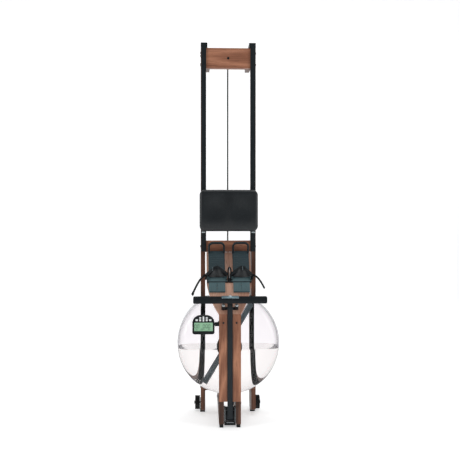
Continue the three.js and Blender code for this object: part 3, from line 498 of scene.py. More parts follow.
key_moulding = moulded("key_moulding", "e9eded", "ffffff", 0.35, grain=1800.0, rubbed_by=0.2, dusty=0.1)
print("mouldings ready")

# %% [markdown]
# The metal is plain steel, brushed along its length, with faint dark fingerprints in its gloss. The
# same brushed noise drives colour, roughness and bump, as it does on a linished bar.

# %% Steel


def metal(name, colour, rough=0.3, stretch=(1.0, 1.0, 0.03)):
    made, tree, skin = new_finish(name)
    spot = place_of(tree)
    lined = add_node(tree, "ShaderNodeVectorMath", {0: spot, 1: stretch}, operation="MULTIPLY").outputs[0]
    brushed = add_node(
        tree, "ShaderNodeTexNoise", {"Vector": lined, "Scale": 900.0, "Detail": 3.0}
    ).outputs["Fac"]
    masks = use(tree, moulding, {"Vector": spot})
    edge = use(tree, soft_edge, {"Radius": 0.0008})
    shade = mix(tree, brushed, scaled(hue(colour), 0.72), hue(colour))
    tone = mix(tree, edge["Edge"], shade, hue("eef1f2"))
    gloss = reckon(tree, "MULTIPLY_ADD", masks["Smudge"], 0.3, rough - 0.12, clamp=True)
    lay(tree, skin, tone, gloss, brushed, 0.00004, 0.5, edge)
    skin["Metallic"].default_value = 1.0
    return made


bright_steel = metal("bright_steel", "c9d0d3", 0.26, (0.03, 1.0, 1.0))
saddle_steel = metal("saddle_steel", "86a0a8", 0.45, (0.03, 1.0, 1.0))
paddle_steel = metal("paddle_steel", "69757a", 0.42, (1.0, 1.0, 0.05))
dark_bolt = moulded("dark_bolt", "14171a", "5a6468", 0.38, grain=2200.0, rubbed_by=0.8, dusty=0.1)
print("metals ready")

# %% [markdown]
# Webbing takes the weave on its own UV map, which the lofts lay out in metres, so the yarns follow
# every bend of a strap, and its colour carries a painted highlight on the yarn crowns and painted
# shade between them. The seat cover is embossed vinyl: cells of a Voronoi pattern make the leather
# grain, with a soft satin over it, and a painted sheen on the cells and painted shade in the creases.

# %% Webbing and vinyl


def woven(name, dark, pale, yarns=760.0, rough=0.8):
    made, tree, skin = new_finish(name)
    relief = use(tree, weave, {"Vector": place_of(tree, "UV"), "Yarns per metre": yarns})["Height"]
    masks = use(tree, moulding, {"Vector": place_of(tree)})
    # painted highlight and shade: yarn crowns paler, the dips between yarns darker, from the weave's height
    share = reckon(tree, "MULTIPLY", relief, reckon(tree, "ADD", masks["Smudge"], 0.35), clamp=True)
    tone = mix(tree, share, hue(dark), hue(pale))
    tone = mix(tree, reckon(tree, "MULTIPLY", masks["Dust"], 0.15), tone, hue("8b8780"))
    gloss = reckon(tree, "MULTIPLY_ADD", masks["Smudge"], 0.2, rough - 0.1, clamp=True)
    lay(tree, skin, tone, gloss, relief, 0.0004, 0.8)
    skin["Specular IOR Level"].default_value = 0.3
    return made


black_webbing = woven("black_webbing", "08090a", "23292d")
pull_webbing = woven("pull_webbing", "0b1013", "242d33", 620.0, 0.62)
cord_braid = woven("cord_braid", "15181a", "4a5154", 900.0, 0.7)


def vinyl(name, base, sheen_tone, rough=0.36, level=0.5):
    made, tree, skin = new_finish(name)
    spot = place_of(tree)
    cells = add_node(
        tree, "ShaderNodeTexVoronoi", {"Vector": spot, "Scale": 620.0}, feature="DISTANCE_TO_EDGE"
    )
    creases = add_node(tree, "ShaderNodeMapRange", {"Value": cells.outputs["Distance"], "From Max": 0.12})
    masks = use(tree, moulding, {"Vector": spot, "Scale": 260.0})
    relief = reckon(tree, "MULTIPLY_ADD", masks["Grain"], 0.6, creases.outputs[0])
    # painted shade and sheen: darker in the creases between cells, lighter toward the sheen tone on the cells
    tone = mix(
        tree, reckon(tree, "MULTIPLY", creases.outputs[0], masks["Smudge"]), hue(base), hue(sheen_tone)
    )
    tone = mix(tree, reckon(tree, "MULTIPLY", masks["Dust"], 0.08), tone, hue("9aa0a2"))
    gloss = reckon(tree, "MULTIPLY_ADD", masks["Smudge"], 0.24, rough - 0.12, clamp=True)
    lay(tree, skin, tone, gloss, relief, 0.00025, 0.35)
    skin["Specular IOR Level"].default_value = level
    skin["Sheen Weight"].default_value = 0.08
    return made


seat_vinyl = vinyl("seat_vinyl", "0b0f12", "161e23", 0.34, 0.42)
instep_vinyl = vinyl("instep_vinyl", "080b0e", "131a1f", 0.38, 0.4)
print("fabrics ready")

# %% [markdown]
# The tank and its water are clear bodies that bend the machine behind them as a lens does. Seen
# edge on, the plastic is a long way through, and a painted shade darkens both bodies toward the
# rim by viewing angle. Light has to reach the paddle inside, so a shadow ray passes straight
# through. Fine scratches and water spots keep the surface from looking like nothing at all.

# %% Clear plastic, water and the display


def clear(name, tint, rim_painted_shade, index, scratched):
    made, tree, skin = new_finish(name)
    masks = use(tree, moulding, {"Vector": place_of(tree)})
    tone = mix(tree, masks["Smudge"], tint, scaled(tint, 1.02))
    weight = add_node(tree, "ShaderNodeLayerWeight", {"Blend": 0.4})
    # painted shade: the colour darkens toward the rim as the surface turns edge on
    tone = mix(tree, reckon(tree, "POWER", weight.outputs["Facing"], 1.8), tone, rim_painted_shade)
    gloss = reckon(tree, "MULTIPLY", masks["Smudge"], scratched)
    lay(tree, skin, tone, gloss, masks["Smudge"], 0.0004, 0.03)
    skin["Transmission Weight"].default_value = 1.0
    skin["IOR"].default_value = index
    ray = add_node(tree, "ShaderNodeLightPath")
    through = add_node(tree, "ShaderNodeBsdfTransparent", {"Color": (0.96, 0.96, 0.96, 1)})
    split = add_node(tree, "ShaderNodeMixShader", {0: ray.outputs["Is Shadow Ray"]})
    tree.links.new(tree.nodes["Principled BSDF"].outputs[0], split.inputs[1])
    tree.links.new(through.outputs[0], split.inputs[2])
    tree.links.new(split.outputs[0], tree.nodes["Material Output"].inputs["Surface"])
    return made


tank_clear = clear("tank_clear", (0.95, 0.93, 0.943, 1), (0.16, 0.17, 0.19, 1), 1.2, 0.02)
still_water = clear("still_water", (1.0, 0.995, 0.955, 1), (0.5, 0.5, 0.47, 1), 1.25, 0.01)

display_green, tree, skin = new_finish("display_green")
masks = use(tree, moulding, {"Vector": place_of(tree), "Scale": 2600.0})
tree.links.new(mix(tree, masks["Smudge"], hue("7bae88"), hue("a8cfb0")), skin["Base Color"])
# painted glow: a faint emission makes the display shine, though it is no lamp
tree.links.new(mix(tree, masks["Smudge"], hue("58b56b"), hue("7ad58a")), skin["Emission Color"])
skin["Emission Strength"].default_value = 0.03
tree.links.new(reckon(tree, "MULTIPLY_ADD", masks["Smudge"], 0.2), skin["Roughness"])
print("clear bodies and display ready")

# %% [markdown]
# Now the frame's own parts take their finishes. Nothing is moved or reshaped, only painted.

# %% Paint the frame


def paint(finish, *names):
    for name in names:
        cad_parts[name].material_slots[0].material = finish
    return len(names)


def both(stem):
    return [f"{side}_{stem}" for side, _ in sides]


painted = paint(rail_timber, *both("rail"), *both("front_upright"))
painted += paint(rail_cross_timber, "front_crossbar", *both("rear_leg"))
painted += paint(deck_timber, "top_deck")
painted += paint(cross_timber, "rear_spacer_block", "heel_crossbar")
painted += paint(board_timber, "footboard")
painted += paint(track_moulding, *both("seat_track"))
painted += paint(
    black_moulding, "roller_bracket", "cord_guide", "handle_rest", *both("wheel_bracket"), "monitor_arm",
    "seat_carriage", "monitor_housing", "fill_plug"
)
painted += paint(tyre_rubber, *both("upright_foot"), *both("front_seat_roller"), *both("rear_seat_roller"))
painted += paint(slate_moulding, *both("heel_plate"))
painted += paint(grey_moulding, *both("toe_plate"))
painted += paint(seal_rubber, "tank_seal_ring")
painted += paint(paddle_steel, "paddle", "paddle_shaft")
painted += paint(display_green, "monitor_screen")
keys = [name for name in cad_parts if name.endswith("_key")]
painted += paint(key_moulding, *keys)
print("painted", painted, "parts of the frame")

# %% [markdown]
# ## Tank
# Two domes of clear plastic meet at a grey seal. The frame's own domes are faceted, so each is
# replaced by a turned shell with the same wall, fine enough to bend light smoothly. The water is one
# body up to its level. Its skin sits just inside the plastic, so no film of air shows between them.

# %% Tank shells
tank_radius, tank_wall, dome_depth, half_seam = 284, 4, 123.2, 1.8
seam_place, tank_height, water_height = 10, 414, 389
shaft_hole = 12.8
tank_centre = at(0, seam_place, tank_height)
depth_axis = (0, 1, 0)


def dome(radius, depth, to_radius, steps=48):
    """A full dome from its rim in to a radius, nearly flat in the middle and round at the rim."""
    end = math.acos((to_radius / radius) ** 2)
    angles = [end * (i / steps) ** 2 for i in range(steps + 1)]
    return [(radius * max(math.cos(a), 0) ** 0.5, depth * math.sin(a) ** 0.5 + half_seam) for a in angles]


neck = 33.8
inner_radius, inner_depth = tank_radius - tank_wall, dome_depth - tank_wall
front_skin = dome(tank_radius, dome_depth, neck) + dome(inner_radius, inner_depth, neck)[::-1]
front_skin = [(r, -d) for r, d in front_skin]
front_dome = turn(
    "tank_front_dome", front_skin, tank_centre, depth_axis, tank_clear, "frame", 144
)
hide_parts("tank_front_shell")
socket = [(0, 121), (shaft_hole, 121), (shaft_hole, 107), (19.8, 107)]
rear_skin = dome(tank_radius, dome_depth, 0) + socket + dome(inner_radius, inner_depth, 19.8)[::-1]
rear_dome = turn("tank_rear_dome", rear_skin, tank_centre, depth_axis, tank_clear, "frame", 144)
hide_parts("tank_rear_shell")
print("tank shells", len(front_dome.data.polygons), "and", len(rear_dome.data.polygons), "faces")

# %% Water
touch = 0.15  # the water reaches this far into the plastic, so no air film shows
half = dome(inner_radius + touch, inner_depth + touch, 0)
full = [(r, -d) for r, d in half[::-1]] + half
tank_fill = turn("tank_fill", full, tank_centre, depth_axis, still_water, "frame", 144)
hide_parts("tank_water")
form = bmesh.new()
form.from_mesh(tank_fill.data)
level = at(0, 0, water_height)
cut = bmesh.ops.bisect_plane(
    form, geom=form.verts[:] + form.edges[:] + form.faces[:], plane_co=level, plane_no=(
        0, 0, 1
    ), clear_outer=True
)
rim = [e for e in cut["geom_cut"] if isinstance(e, bmesh.types.BMEdge)]
bmesh.ops.holes_fill(form, edges=rim)
bmesh.ops.recalc_face_normals(form, faces=form.faces)
form.to_mesh(tank_fill.data)
form.free()
tank_fill.data.set_sharp_from_angle(angle=math.radians(35))
print("water up to z =", round(level.z, 3), "closed by", len(rim), "edges")

# %% [markdown]
# Where the tank sits in the rails, each plank's cradle is lined with a strip of black rubber. It
# follows the dome exactly, so it is drawn on the dome's own surface, a little larger, from one
# front edge of the plank round the back to the other. The same surface gives both its faces.

# %% Cradle linings


def on_dome(x, angle, grow):
    """A place on the dome at x, its angle counted from the top rim round the back to the low rim."""
    radius, depth = tank_radius + grow, dome_depth + grow
    z = math.sqrt(radius ** 2 - x ** 2) * math.copysign(abs(math.cos(angle)) ** 0.5, math.cos(angle))
    inward = max(0.0, 1 - ((x * x + z * z) / radius ** 2) ** 2) ** 0.25
    return at(x, seam_place + math.copysign(half_seam + depth * inward, math.sin(angle)), tank_height + z)


upper_half = [math.radians(90 * i * abs(i) / 900) for i in range(-2, 30)]
round_back = upper_half + [math.pi / 2] + [math.pi - a for a in reversed(upper_half)]
for side, sign in sides:
    rings = []
    for angle in round_back:
        xs = [sign * x for x in (127.6, 134, 141, 148, 154.8)]
        inner = [on_dome(x, angle, 0.25) for x in xs]
        outer = [on_dome(x, angle, 4.1) for x in reversed(xs)]
        rings.append(inner + outer)
    loft(f"{side}_cradle_lining", rings, lining_rubber, "frame", crease=50)
print("linings follow the dome")

# %% [markdown]
# ## Turned parts
# The drum, roller, bearing and wheels are simple turnings. Each is turned again with more steps and
# with the small details that the plain solids leave out: a wheel's tread grooves and hub, the one
# wrap of strap on the drum, and the turns of cord on its spool.

# %% Drum, bearing and roller
hub_place = at(0, 0, tank_height)
drum_skin = [
    (shaft_hole, -131.5), (66, -131.5), (67, -132.2), (67, -134.8), (66, -135.5), (45, -135.5), (45, -167.5),
    (66, -167.5), (67, -168.2), (67, -170.8), (66, -171.5), (22, -171.5), (22, -195.5), (39, -195.5),
    (40, -196.2), (40, -199.5), (24, -199.5), (22, -198), (shaft_hole, -198)
]
drum = turn(
    "drum_turning", drum_skin, hub_place, depth_axis, black_moulding, "strap_drum", 72
)
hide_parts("strap_drum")
turn(
    "drum_wrap", [(45.2, -137.6), (47.8, -137.6), (47.8, -165.4), (45.2, -165.4)], hub_place, depth_axis,
    pull_webbing, "strap_drum", 72
)
coil = []
for i in range(3):
    for step in range(9):
        angle = math.radians(-90 + 22.5 * step)
        coil.append((26.0 + 4 * math.cos(angle), -191.3 + 8 * i + 3.9 * math.sin(angle)))
turn(
    "spool_turns", coil + [(22.1, -171.6), (22.1, -195.2)], hub_place, depth_axis, cord_braid, "strap_drum",
    64
)
bearing_skin = [
    (shaft_hole, -103.8), (33.2, -103.8), (33.4, -115.3), (58.5, -115.3), (60, -116.5), (60, -120.8),
    (58.5, -122), (36, -126), (33.5, -127.4), (shaft_hole, -127.4)
]
bearing = turn(
    "bearing_turning", bearing_skin, hub_place, depth_axis, black_moulding, "frame", 72
)
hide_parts("bearing_housing")
roller_place = at(0, -211, 60)
roller_skin = [
    (6.3, -23), (24, -23), (25, -22), (25, -15.2), (24.6, -15), (24.6, 15), (25, 15.2), (25, 22), (24, 23),
    (6.3, 23)
]
roller = turn(
    "roller_turning", roller_skin, roller_place, (1, 0, 0), black_moulding, "front_roller",
    56
)
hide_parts("front_roller")
print("turned the drum, bearing and roller")

# %% Transport wheels
for side, sign in sides:
    hub = at(sign * 172, 140, 46)
    tyre_skin = [(26, -13.6), (37.5, -13.9), (39.3, -12.4)]
    for groove in (-6, 0, 6):
        tyre_skin += [(39.5, groove - 1.4), (38.1, groove - 0.9), (38.1, groove + 0.9), (39.5, groove + 1.4)]
    tyre_skin += [(39.3, 12.4), (37.5, 13.9), (26, 13.6)]
    tyre = turn(
        f"{side}_tyre", tyre_skin, hub, (1, 0, 0), tyre_rubber, f"{side}_transport_wheel", 72
    )
    hub_skin = [
        (5.4, -13), (12, -13), (13, -9), (23, -8), (25, -12.5), (26.1, -12.5), (26.1, 12.5), (25, 12.5),
        (23, 8), (13, 9), (12, 13), (5.4, 13)
    ]
    centre = turn(
        f"{side}_wheel_hub", hub_skin, hub, (1, 0, 0), grey_moulding, f"{side}_transport_wheel", 48
    )
    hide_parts(f"{side}_transport_wheel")
print("wheels with three grooves each")

# %% [markdown]
# ## Handle
# The grip is a soft foam tube over a steel bar. Its ends roll over softly, and the clip that joins it
# to the strap wraps the top of it, with a small pale button in the middle.

# %% Handle
bar_place = at(0, -258.3, 674)
grip_skin = [(0, -193.5)]
for step in range(7):
    angle = math.radians(90 * step / 6)
    grip_skin.append((19.4 - 7 + 7 * math.sin(angle), -187 - 6.8 * math.cos(angle)))
grip_skin += [(19.45, -100), (19.2, -52), (19.2, 52), (19.45, 100)]
for step in range(7):
    angle = math.radians(90 - 90 * step / 6)
    grip_skin.append((19.4 - 7 + 7 * math.sin(angle), 187 + 6.8 * math.cos(angle)))
grip_skin.append((0, 193.5))
grip = turn("handle_grip", grip_skin, bar_place, (1, 0, 0), grip_foam, "handle", 64)
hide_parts("handle_bar")
clip_rings = []
for i in range(25):
    angle = math.radians(38 + 114 * i / 24)
    spoke = Vector((0, math.cos(angle), math.sin(angle)))
    xs = (-45, -44.2, 44.2, 45)
    low = [bar_place + spoke * 0.0196 + Vector((x / 1000, 0, 0)) for x in (-45, 45)]
    high = [
        bar_place + spoke * (0.0212 if abs(x) > 44.5 else 0.0218) + Vector((x / 1000, 0, 0)) for x in xs[::-1]
    ]
    clip_rings.append(low + high)
clip = loft("handle_saddle", clip_rings, saddle_steel, "handle", crease=50)
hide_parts("handle_clip")
turn(
    "handle_button", [(0, 20.5), (8, 20.5), (8.3, 22.6), (7, 24.4), (4.5, 25.2), (0, 25.4)], bar_place,
    (0, -0.35, 1),
    pale_moulding, "handle", 40
)
print("handle with saddle and button")

# %% [markdown]
# ## Straps
# The drive strap runs up the deck from the roller to the handle. It lengthens as the handle is
# pulled; here it is one fixed skin that rides no body. Behind the deck the same strap leaves the
# drum edge on, makes a quarter twist and wraps under the roller.

# %% Drive strap
strap_middle = -237.45
front_run = [(at(0, strap_middle, 60.4 + 632 * i / 40), (1, 0, 0), 28, 2.4) for i in range(41)]
drive = strap("drive_strap_web", front_run, pull_webbing, None)
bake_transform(drive)
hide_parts("drive_strap")
hem = [(at(0, -239.2, 628 + 24 * i / 4), (1, 0, 0), 26.5, 1.2) for i in range(5)]
strap("strap_hem", hem, black_webbing, "handle")

# %% Return run
flange_end = Vector((46.65, -151.5, 339))
roller_end = Vector((0, -211 + 26.65, 60))
stations = [(at(46.65, -151.5, 414 - 75 * i / 4), (0, 1, 0), 28, 2.4) for i in range(4)]
for i in range(25):
    share = i / 24
    spot = flange_end.lerp(roller_end, share)
    twist = share * math.pi / 2
    stations.append((at(*spot), (math.sin(twist), math.cos(twist), 0), 28, 2.4))
for i in range(1, 25):
    angle = math.pi * i / 24
    stations.append((at(0, -211 + 26.65 * math.cos(angle), 60 - 26.65 * math.sin(angle)), (1, 0, 0), 28, 2.4))
run = strap("return_run_web", stations, pull_webbing, "frame")
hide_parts("strap_return_run")

# %% [markdown]
# The recoil cord is a braided elastic. It leaves the spool behind the drum, climbs between the
# rails, goes through its guide and ends in a knot behind the hole in the rear block. A smooth curve
# through the places that it touches gives its centre line.

# %% Recoil cord
touches = [Vector(p) for p in (
    (26.3, -183.5, 414), (26.3, -183.5, 454), (24.3, -180.5, 495), (11, -98, 700), (0, 55, 920), (0, 80, 981),
    (0, 85, 1041), (0, 85, 1300), (0, 85, 1620), (0, 85, 1900), (0, 77, 1955), (0, 62, 1985), (0, 42, 2000),
    (0, 12, 2001)
)]


def through_points(points, steps):
    """A centripetal curve through the points, each knot spaced by the root of its chord."""
    ends = [points[0] * 2 - points[1]] + points + [points[-1] * 2 - points[-2]]
    line = []
    for a, b, c, d in zip(ends, ends[1:], ends[2:], ends[3:]):
        t1 = (b - a).length ** 0.5
        t2 = t1 + (c - b).length ** 0.5
        t3 = t2 + (d - c).length ** 0.5
        for i in range(steps):
            t = t1 + (t2 - t1) * i / steps
            ab, bc, cd = a.lerp(b, t / t1), b.lerp(c, (t - t1) / (t2 - t1)), c.lerp(d, (t - t2) / (t3 - t2))
            line.append(ab.lerp(bc, t / t2).lerp(bc.lerp(cd, (t - t1) / (t3 - t1)), (t - t1) / (t2 - t1)))
    return line + [points[-1]]


def round_cord(name, line, diameter, finish, body, sides_of=12):
    rings = []
    side = Vector((1, 0, 0))
    for i, spot in enumerate(line):
        ahead = (line[min(i + 1, len(line) - 1)] - line[max(i - 1, 0)]).normalized()
        side = (side - ahead * side.dot(ahead)).normalized()
        other = ahead.cross(side)
        turns = [2 * math.pi * k / sides_of for k in range(sides_of)]
        rings.append(
            [at(*(spot + (side * math.cos(t) + other * math.sin(t)) * (diameter / 2))) for t in turns]
        )
    return loft(name, rings, finish, body)


cord_line = through_points(touches, 10)
cord = round_cord("recoil_braid", cord_line, 8, cord_braid, "frame")
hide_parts("recoil_cord")
turn(
    "cord_knot", [(0, 3.5), (5, 4), (7, 6.5), (7, 10), (4.5, 13), (0, 13.5)], at(0, 0, 2001), depth_axis,
    cord_braid, "frame", 32
)
length = sum((b - a).length for a, b in zip(cord_line, cord_line[1:]))
print("recoil cord", round(length), "mm long")

# %% [markdown]
# ## Seat
# The pad is moulded foam under a vinyl skin: a rounded slab whose front edge falls away under the
# thighs, with two shallow hollows for the sitting bones and a channel between them. Rings of its
# rounded outline shrink toward the middle, and one function sets how far each point stands out.

# %% Seat pad
pad_low, pad_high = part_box("seat_pad")
pad_middle = (pad_low + pad_high) / 2 * 1000
half_width, half_length = (pad_high.x - pad_low.x) * 500, (pad_high.z - pad_low.z) * 500
pad_back = pad_high.y


def pad_outline(inset, corners=14):
    """The pad's rounded outline, drawn inset millimetres inside its edge."""
    radius = max(30 - inset, 6)
    points = []
    for cx, cz, start in ((1, 1, 0), (-1, 1, 90), (-1, -1, 180), (1, -1, 270)):
        for i in range(corners + 1):
            angle = math.radians(start + 90 * i / corners)
            x = cx * (half_width - inset - radius) + radius * math.cos(angle)
            z = cz * (half_length - inset - radius) + radius * math.sin(angle)
            points.append((x, z))
        nx, nz = (-cx, cz) if start in (0, 180) else (cx, -cz)
        last, steps = points[-1], 10
        goal = (nx * (half_width - inset - radius), cz * (half_length - inset)) if start in (0, 180) else \
            (cx * (half_width - inset), nz * (half_length - inset - radius))
        for i in range(1, steps):
            points.append(tuple(a + (b - a) * i / steps for a, b in zip(last, goal)))
    return points


def pad_sink(x, z):
    """How far the top lies below the pad's highest plane, in mm."""
    hollows = sum(7.5 * math.exp(-((x - c) / 50) ** 2 - ((z - 6) / 58) ** 2) for c in (-74, 74))
    channel = 5.5 * math.exp(-(x / 11) ** 2) * (0.35 + 0.65 * min(1, abs(z) / 70))
    fall = max(0, (-z - 40) / (half_length - 40))
    back = max(0, (z - 86) / 28)
    return hollows + channel + 12 * fall ** 2 + 2.5 * back ** 2


pad_rings = []
deep = 42
for inset, depth in (
    (10, 0), (2, 0.3), (0.6, 2), (0.3, 13), (0.2, 15), (1.6, 16.2), (0.3, 17.4), (0, 19), (0, 25)
):
    pad_rings.append([(x, z, depth) for x, z in pad_outline(inset)])
for i in range(1, 9):
    angle = math.radians(90 * i / 8)
    inset, depth = 16 * (1 - math.cos(angle)), 25 + (deep - 25) * math.sin(angle)
    ring = []
    for x, z in pad_outline(inset):
        ring.append((x, z, depth - pad_sink(x, z) * (depth - 25) / (deep - 25)))
    pad_rings.append(ring)
edge_ring = pad_outline(16)
for i in range(1, 17):
    share = 1 - i / 16.2
    pad_rings.append([(x * share, z * share, deep - pad_sink(x * share, z * share)) for x, z in edge_ring])
placed = [
    [
        Vector(((pad_middle.x + x) / 1000, pad_back - depth / 1000, (pad_middle.z + z) / 1000))
        for x, z, depth in ring
    ]
    for ring in pad_rings
]
seat_cover = loft("seat_cover", placed, seat_vinyl, "seat", crease=60)
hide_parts("seat_pad")
print("seat cover", len(seat_cover.data.vertices), "points")

# %% [markdown]
# ## Foot rests
# Each foot rest is two mouldings: a toe plate fixed to the board, and a heel plate that slides for
# length. Low ribs stiffen both and give the shoe some grip. They are blocks with rolled edges, laid
# in the board's own measure. Those on the toe plate stop short of where the heel plate slides to.

# %% Ribs on the foot rests
for side, sign in sides:
    middle = sign * foot_middle
    for i in range(7):
        x = middle + (i - 3) * 11.5
        if side == "left" and i == 3:
            continue
        bar(
            f"{side}_toe_rib_{i}", (
                x - 1.3, 138, 5.9
            ), (x + 1.3, 176, 7.2), grey_moulding, "frame", 0.6,
            on_board
        )
    bar(
        f"{side}_toe_lip", (
            middle - 44, 131.2, 5.8
        ), (middle + 44, 134.2, 8.6), slate_moulding, "frame",
        0.9, on_board
    )
    for i in range(9):
        up = 262 + i * 13
        half = 35 + i * 0.4
        bar(
            f"{side}_heel_rib_{i}", (
                middle - half, up - 1.4, 14.2
            ), (middle + half, up + 1.4, 15.5), slate_moulding,
            f"{side}_heel_plate", 0.6, on_board
        )
    for edge in (-1, 1):
        x = middle + edge * 43.5
        bar(
            f"{side}_heel_rim_{'inner' if edge * sign < 0 else 'outer'}", (
                x - 1.6, 250, 14.1
            ), (x + 1.6, 368, 17.2),
            slate_moulding, f"{side}_heel_plate", 1.2, on_board
        )
print("ribs on both foot rests")

# %% [markdown]
# Each heel plate grows a hoop that stops the heel from lifting out. A black rubber sleeve covers it:
# a rounded band carried round the hoop's own arch, which leans toward the heel.

# %% Hoop sleeves
arch = [(41.5, 5), (41.5, 24)] + [
    (20 + 21.5 * math.cos(math.radians(9 * i)), 44 + 21.5 * math.sin(math.radians(9 * i))) for i in range(11)
]
arch += [(0, 65.5)] + [(-x, rise) for x, rise in arch[::-1]]
for side, sign in sides:
    sleeve = []
    for x, rise in arch:
        up, out = 376.2 + 0.5 * rise, 7.3 + 0.866 * rise
        sleeve.append((on_board(sign * foot_middle + x, up, out), slope * 0.866 - outward * 0.5, 14, 11))
    strap(f"{side}_hoop_sleeve", sleeve, black_moulding, f"{side}_heel_plate", rounding=0.46)
print("rubber sleeves on both hoops")

# %% [markdown]
# A foot strap is three things: a padded instep cover shaped like a boat, the webbing that pulls it
# down, and the buckle that holds the webbing. The cover is lofted from lens-shaped sections that are
# wide in the middle and lean toward the heel. The webbing then runs over its upper edge.

# %% Instep covers and webbing


def instep_path(share):
    """Place across and lift of the strap, from its outer end to its inner end."""
    lift = math.sin(math.pi * share)
    return 55 - 110 * share, 236 - 10.5 * lift, 10.5 + 47 * lift, lift


for side, sign in sides:
    middle = sign * foot_middle
    rings = []
    for i in range(29):
        share = 0.015 + 0.97 * i / 28
        x, up, out, lift = instep_path(share)
        lean = math.radians(45) * lift
        width = 17 + 29 * lift ** 1.15
        bulge = 2.4 + 1.8 * lift
        centre = (up - 7 * lift, out - 2 * lift)
        ring = []
        for k in range(16):
            angle = 2 * math.pi * k / 16
            a = (width / 2) * math.cos(angle)
            t = bulge * math.sin(angle) * (1 - 0.25 * math.cos(angle) ** 2)
            nx, ny = math.cos(lean), math.sin(lean)
            ring.append(on_board(middle + sign * x, centre[0] + a * nx - t * ny, centre[1] + a * ny + t * nx))
        rings.append(ring)
    cover = loft(f"{side}_instep_cover", rings, instep_vinyl, "frame", crease=70)
    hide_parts(f"{side}_foot_strap")

    pull = []
    for i in range(33):
        share = i / 32
        tent = 1 - abs(2 * share - 1) ** 1.15
        x = 59 - 118 * share
        up, out = 229 + 14 * tent, 24 + 52 * tent
        pull.append(
            (on_board(middle + sign * x, up, out), slope * 0.72 + outward * 0.7 * tent + slope * 0.3, 19, 2.6)
        )
    down = [(on_board(middle + sign * x, 219, 13), slope, 19, 2.6) for x in (61, -61)]
    strap(f"{side}_instep_webbing", down[:1] + pull + down[1:], black_webbing, "frame")
print("instep covers with webbing")

# %% Loops, tails and buckles


def bezier(a, b, c, count):
    return [a.lerp(b, i / count).lerp(b.lerp(c, i / count), i / count) for i in range(count + 1)]


for side, sign in sides:
    middle = sign * foot_middle
    loop_middle = Vector((middle + sign * 59, 217, 13))
    ring_line = []
    for i in range(28):
        angle = 2 * math.pi * i / 28
        c, s = math.cos(angle), math.sin(angle)
        ring_line.append(loop_middle + Vector((3.2 * c, 12 * s, 8.5 * c)))
    rings = []
    for i, spot in enumerate(ring_line):
        ahead = (ring_line[(i + 1) % 28] - ring_line[i - 1]).normalized()
        flank = Vector((1, 0, 0)) - ahead * ahead.x
        flank.normalize()
        other = ahead.cross(flank)
        turns = [2 * math.pi * k / 10 for k in range(10)]
        rings.append(
            [on_board(*(spot + (flank * math.cos(t) * 1.4 + other * math.sin(t)) * 2.4)) for t in turns]
        )
    loft(f"{side}_strap_loop", rings, black_moulding, "frame", around_loop=True)

    root = Vector((middle + sign * 57, 231, 16))
    tip = Vector((middle + sign * 131, 107, 25)) if side == "left" else Vector((middle + sign * 117, 150, 27))
    bend = root + Vector((sign * 30, -10, 20))
    tail = bezier(root, bend, tip, 20)
    stations = []
    for i, spot in enumerate(tail):
        lean = math.radians(70 - 25 * i / 20)
        across = outward * math.sin(lean) + slope * 0.2 + Vector((sign * 0.35 * math.cos(lean), 0, 0))
        stations.append((on_board(*spot), across, 17 if side == "left" else 14, 2.0))
    strap(f"{side}_strap_tail", stations, black_webbing, "frame")
    way = (tail[-1] - tail[-3]).normalized()
    ends = [tail[-2] + way * (4.5 * k) for k in range(5)]
    size = 9 if side == "left" else 4
    folded = [(on_board(*spot), stations[-1][1], 18 if side == "left" else 13, size * f)
              for spot, f in zip(ends, (0.45, 0.9, 1.0, 0.85, 0.35))]
    strap(f"{side}_tail_tab", folded, black_webbing, "frame")

    place = -14 if side == "left" else 10
    tent = 1 - abs(place / 59) ** 1.15
    buckle = Vector((middle + place, 229 + 14 * tent, 25 + 52 * tent))
    tilt = -math.copysign(0.62, place)
    along = Vector((1, -0.3 * tilt, tilt)).normalized()
    wide = Vector((0, 0.75, 0.66)).normalized()
    lift = along.cross(wide)
    for part, (a0, a1, b0, b1) in {
        "near": (-10, -7, -12, 12), "far": (7, 10, -12, 12), "low": (-10, 10, -12, -9.6),
        "high": (-10, 10, 9.6, 12),
        "bridge": (-2, 1.6, -10, 10)
    }.items():
        bar(
            f"{side}_buckle_{part}", (
                a0, b0, 1.4
            ), (a1, b1, 4.6), paddle_steel if part == "near" else black_moulding,
            "frame", 0.7, lambda a, b, c: on_board(*(buckle + along * a + wide * b + lift * c))
        )
print("loops, tails and buckles")

# %% [markdown]
# Between the feet the two straps share one clip: an upright oval ring with a bright pin down its
# middle. A slim black bar ties both toe plates together, let in flush so the heel plates slide over.

# %% Centre clip and tie bar
clip_middle = on_board(2, 238, 26)
oval = []
for i in range(40):
    angle = 2 * math.pi * i / 40
    oval.append((math.cos(angle) * 8.4, math.sin(angle) * 31.5))
rings = []
for i, (x, z) in enumerate(oval):
    ahead = Vector(
        (oval[(i + 1) % 40][0] - oval[i - 1][0], 0, oval[(i + 1) % 40][1] - oval[i - 1][1])
    ).normalized()
    flank = ahead.cross(Vector((0, 1, 0)))
    turns = [2 * math.pi * k / 10 for k in range(10)]
    spot = Vector((x, 0, z))
    ring = [spot + flank * (4.0 * math.cos(t)) + Vector((0, 6 * math.sin(t), 0)) for t in turns]
    rings.append([clip_middle + p / 1000 for p in ring])
loft("centre_clip", rings, black_moulding, "frame", around_loop=True)
turn(
    "clip_pin", [
        (0, -27), (1.5, -27), (2.1, -24), (2.1, -8), (1.5, -6), (1.5, 6), (2.1, 8), (2.1, 24), (1.5, 27),
        (0, 27)
    ],
    clip_middle + Vector((0, -0.003, 0)), (0, 0, 1), bright_steel, "frame", 24
)
bar(
    "tie_bar", (-121, 191.5, 0.6), (121, 197.5, 6.15), black_moulding, "frame", 0.5, on_board
)
bar("clip_foot", (-9, 200, 0.5), (13, 216, 9), black_moulding, "frame", 3, on_board)
print("centre clip and tie bar")

# %% [markdown]
# ## Fastenings
# Every joint of the frame is held by barrel bolts with a hexagon socket, over a thin washer. One
# function turns them all: a washer, a low domed head, and the six-sided recess for the key.

# %% Bolts


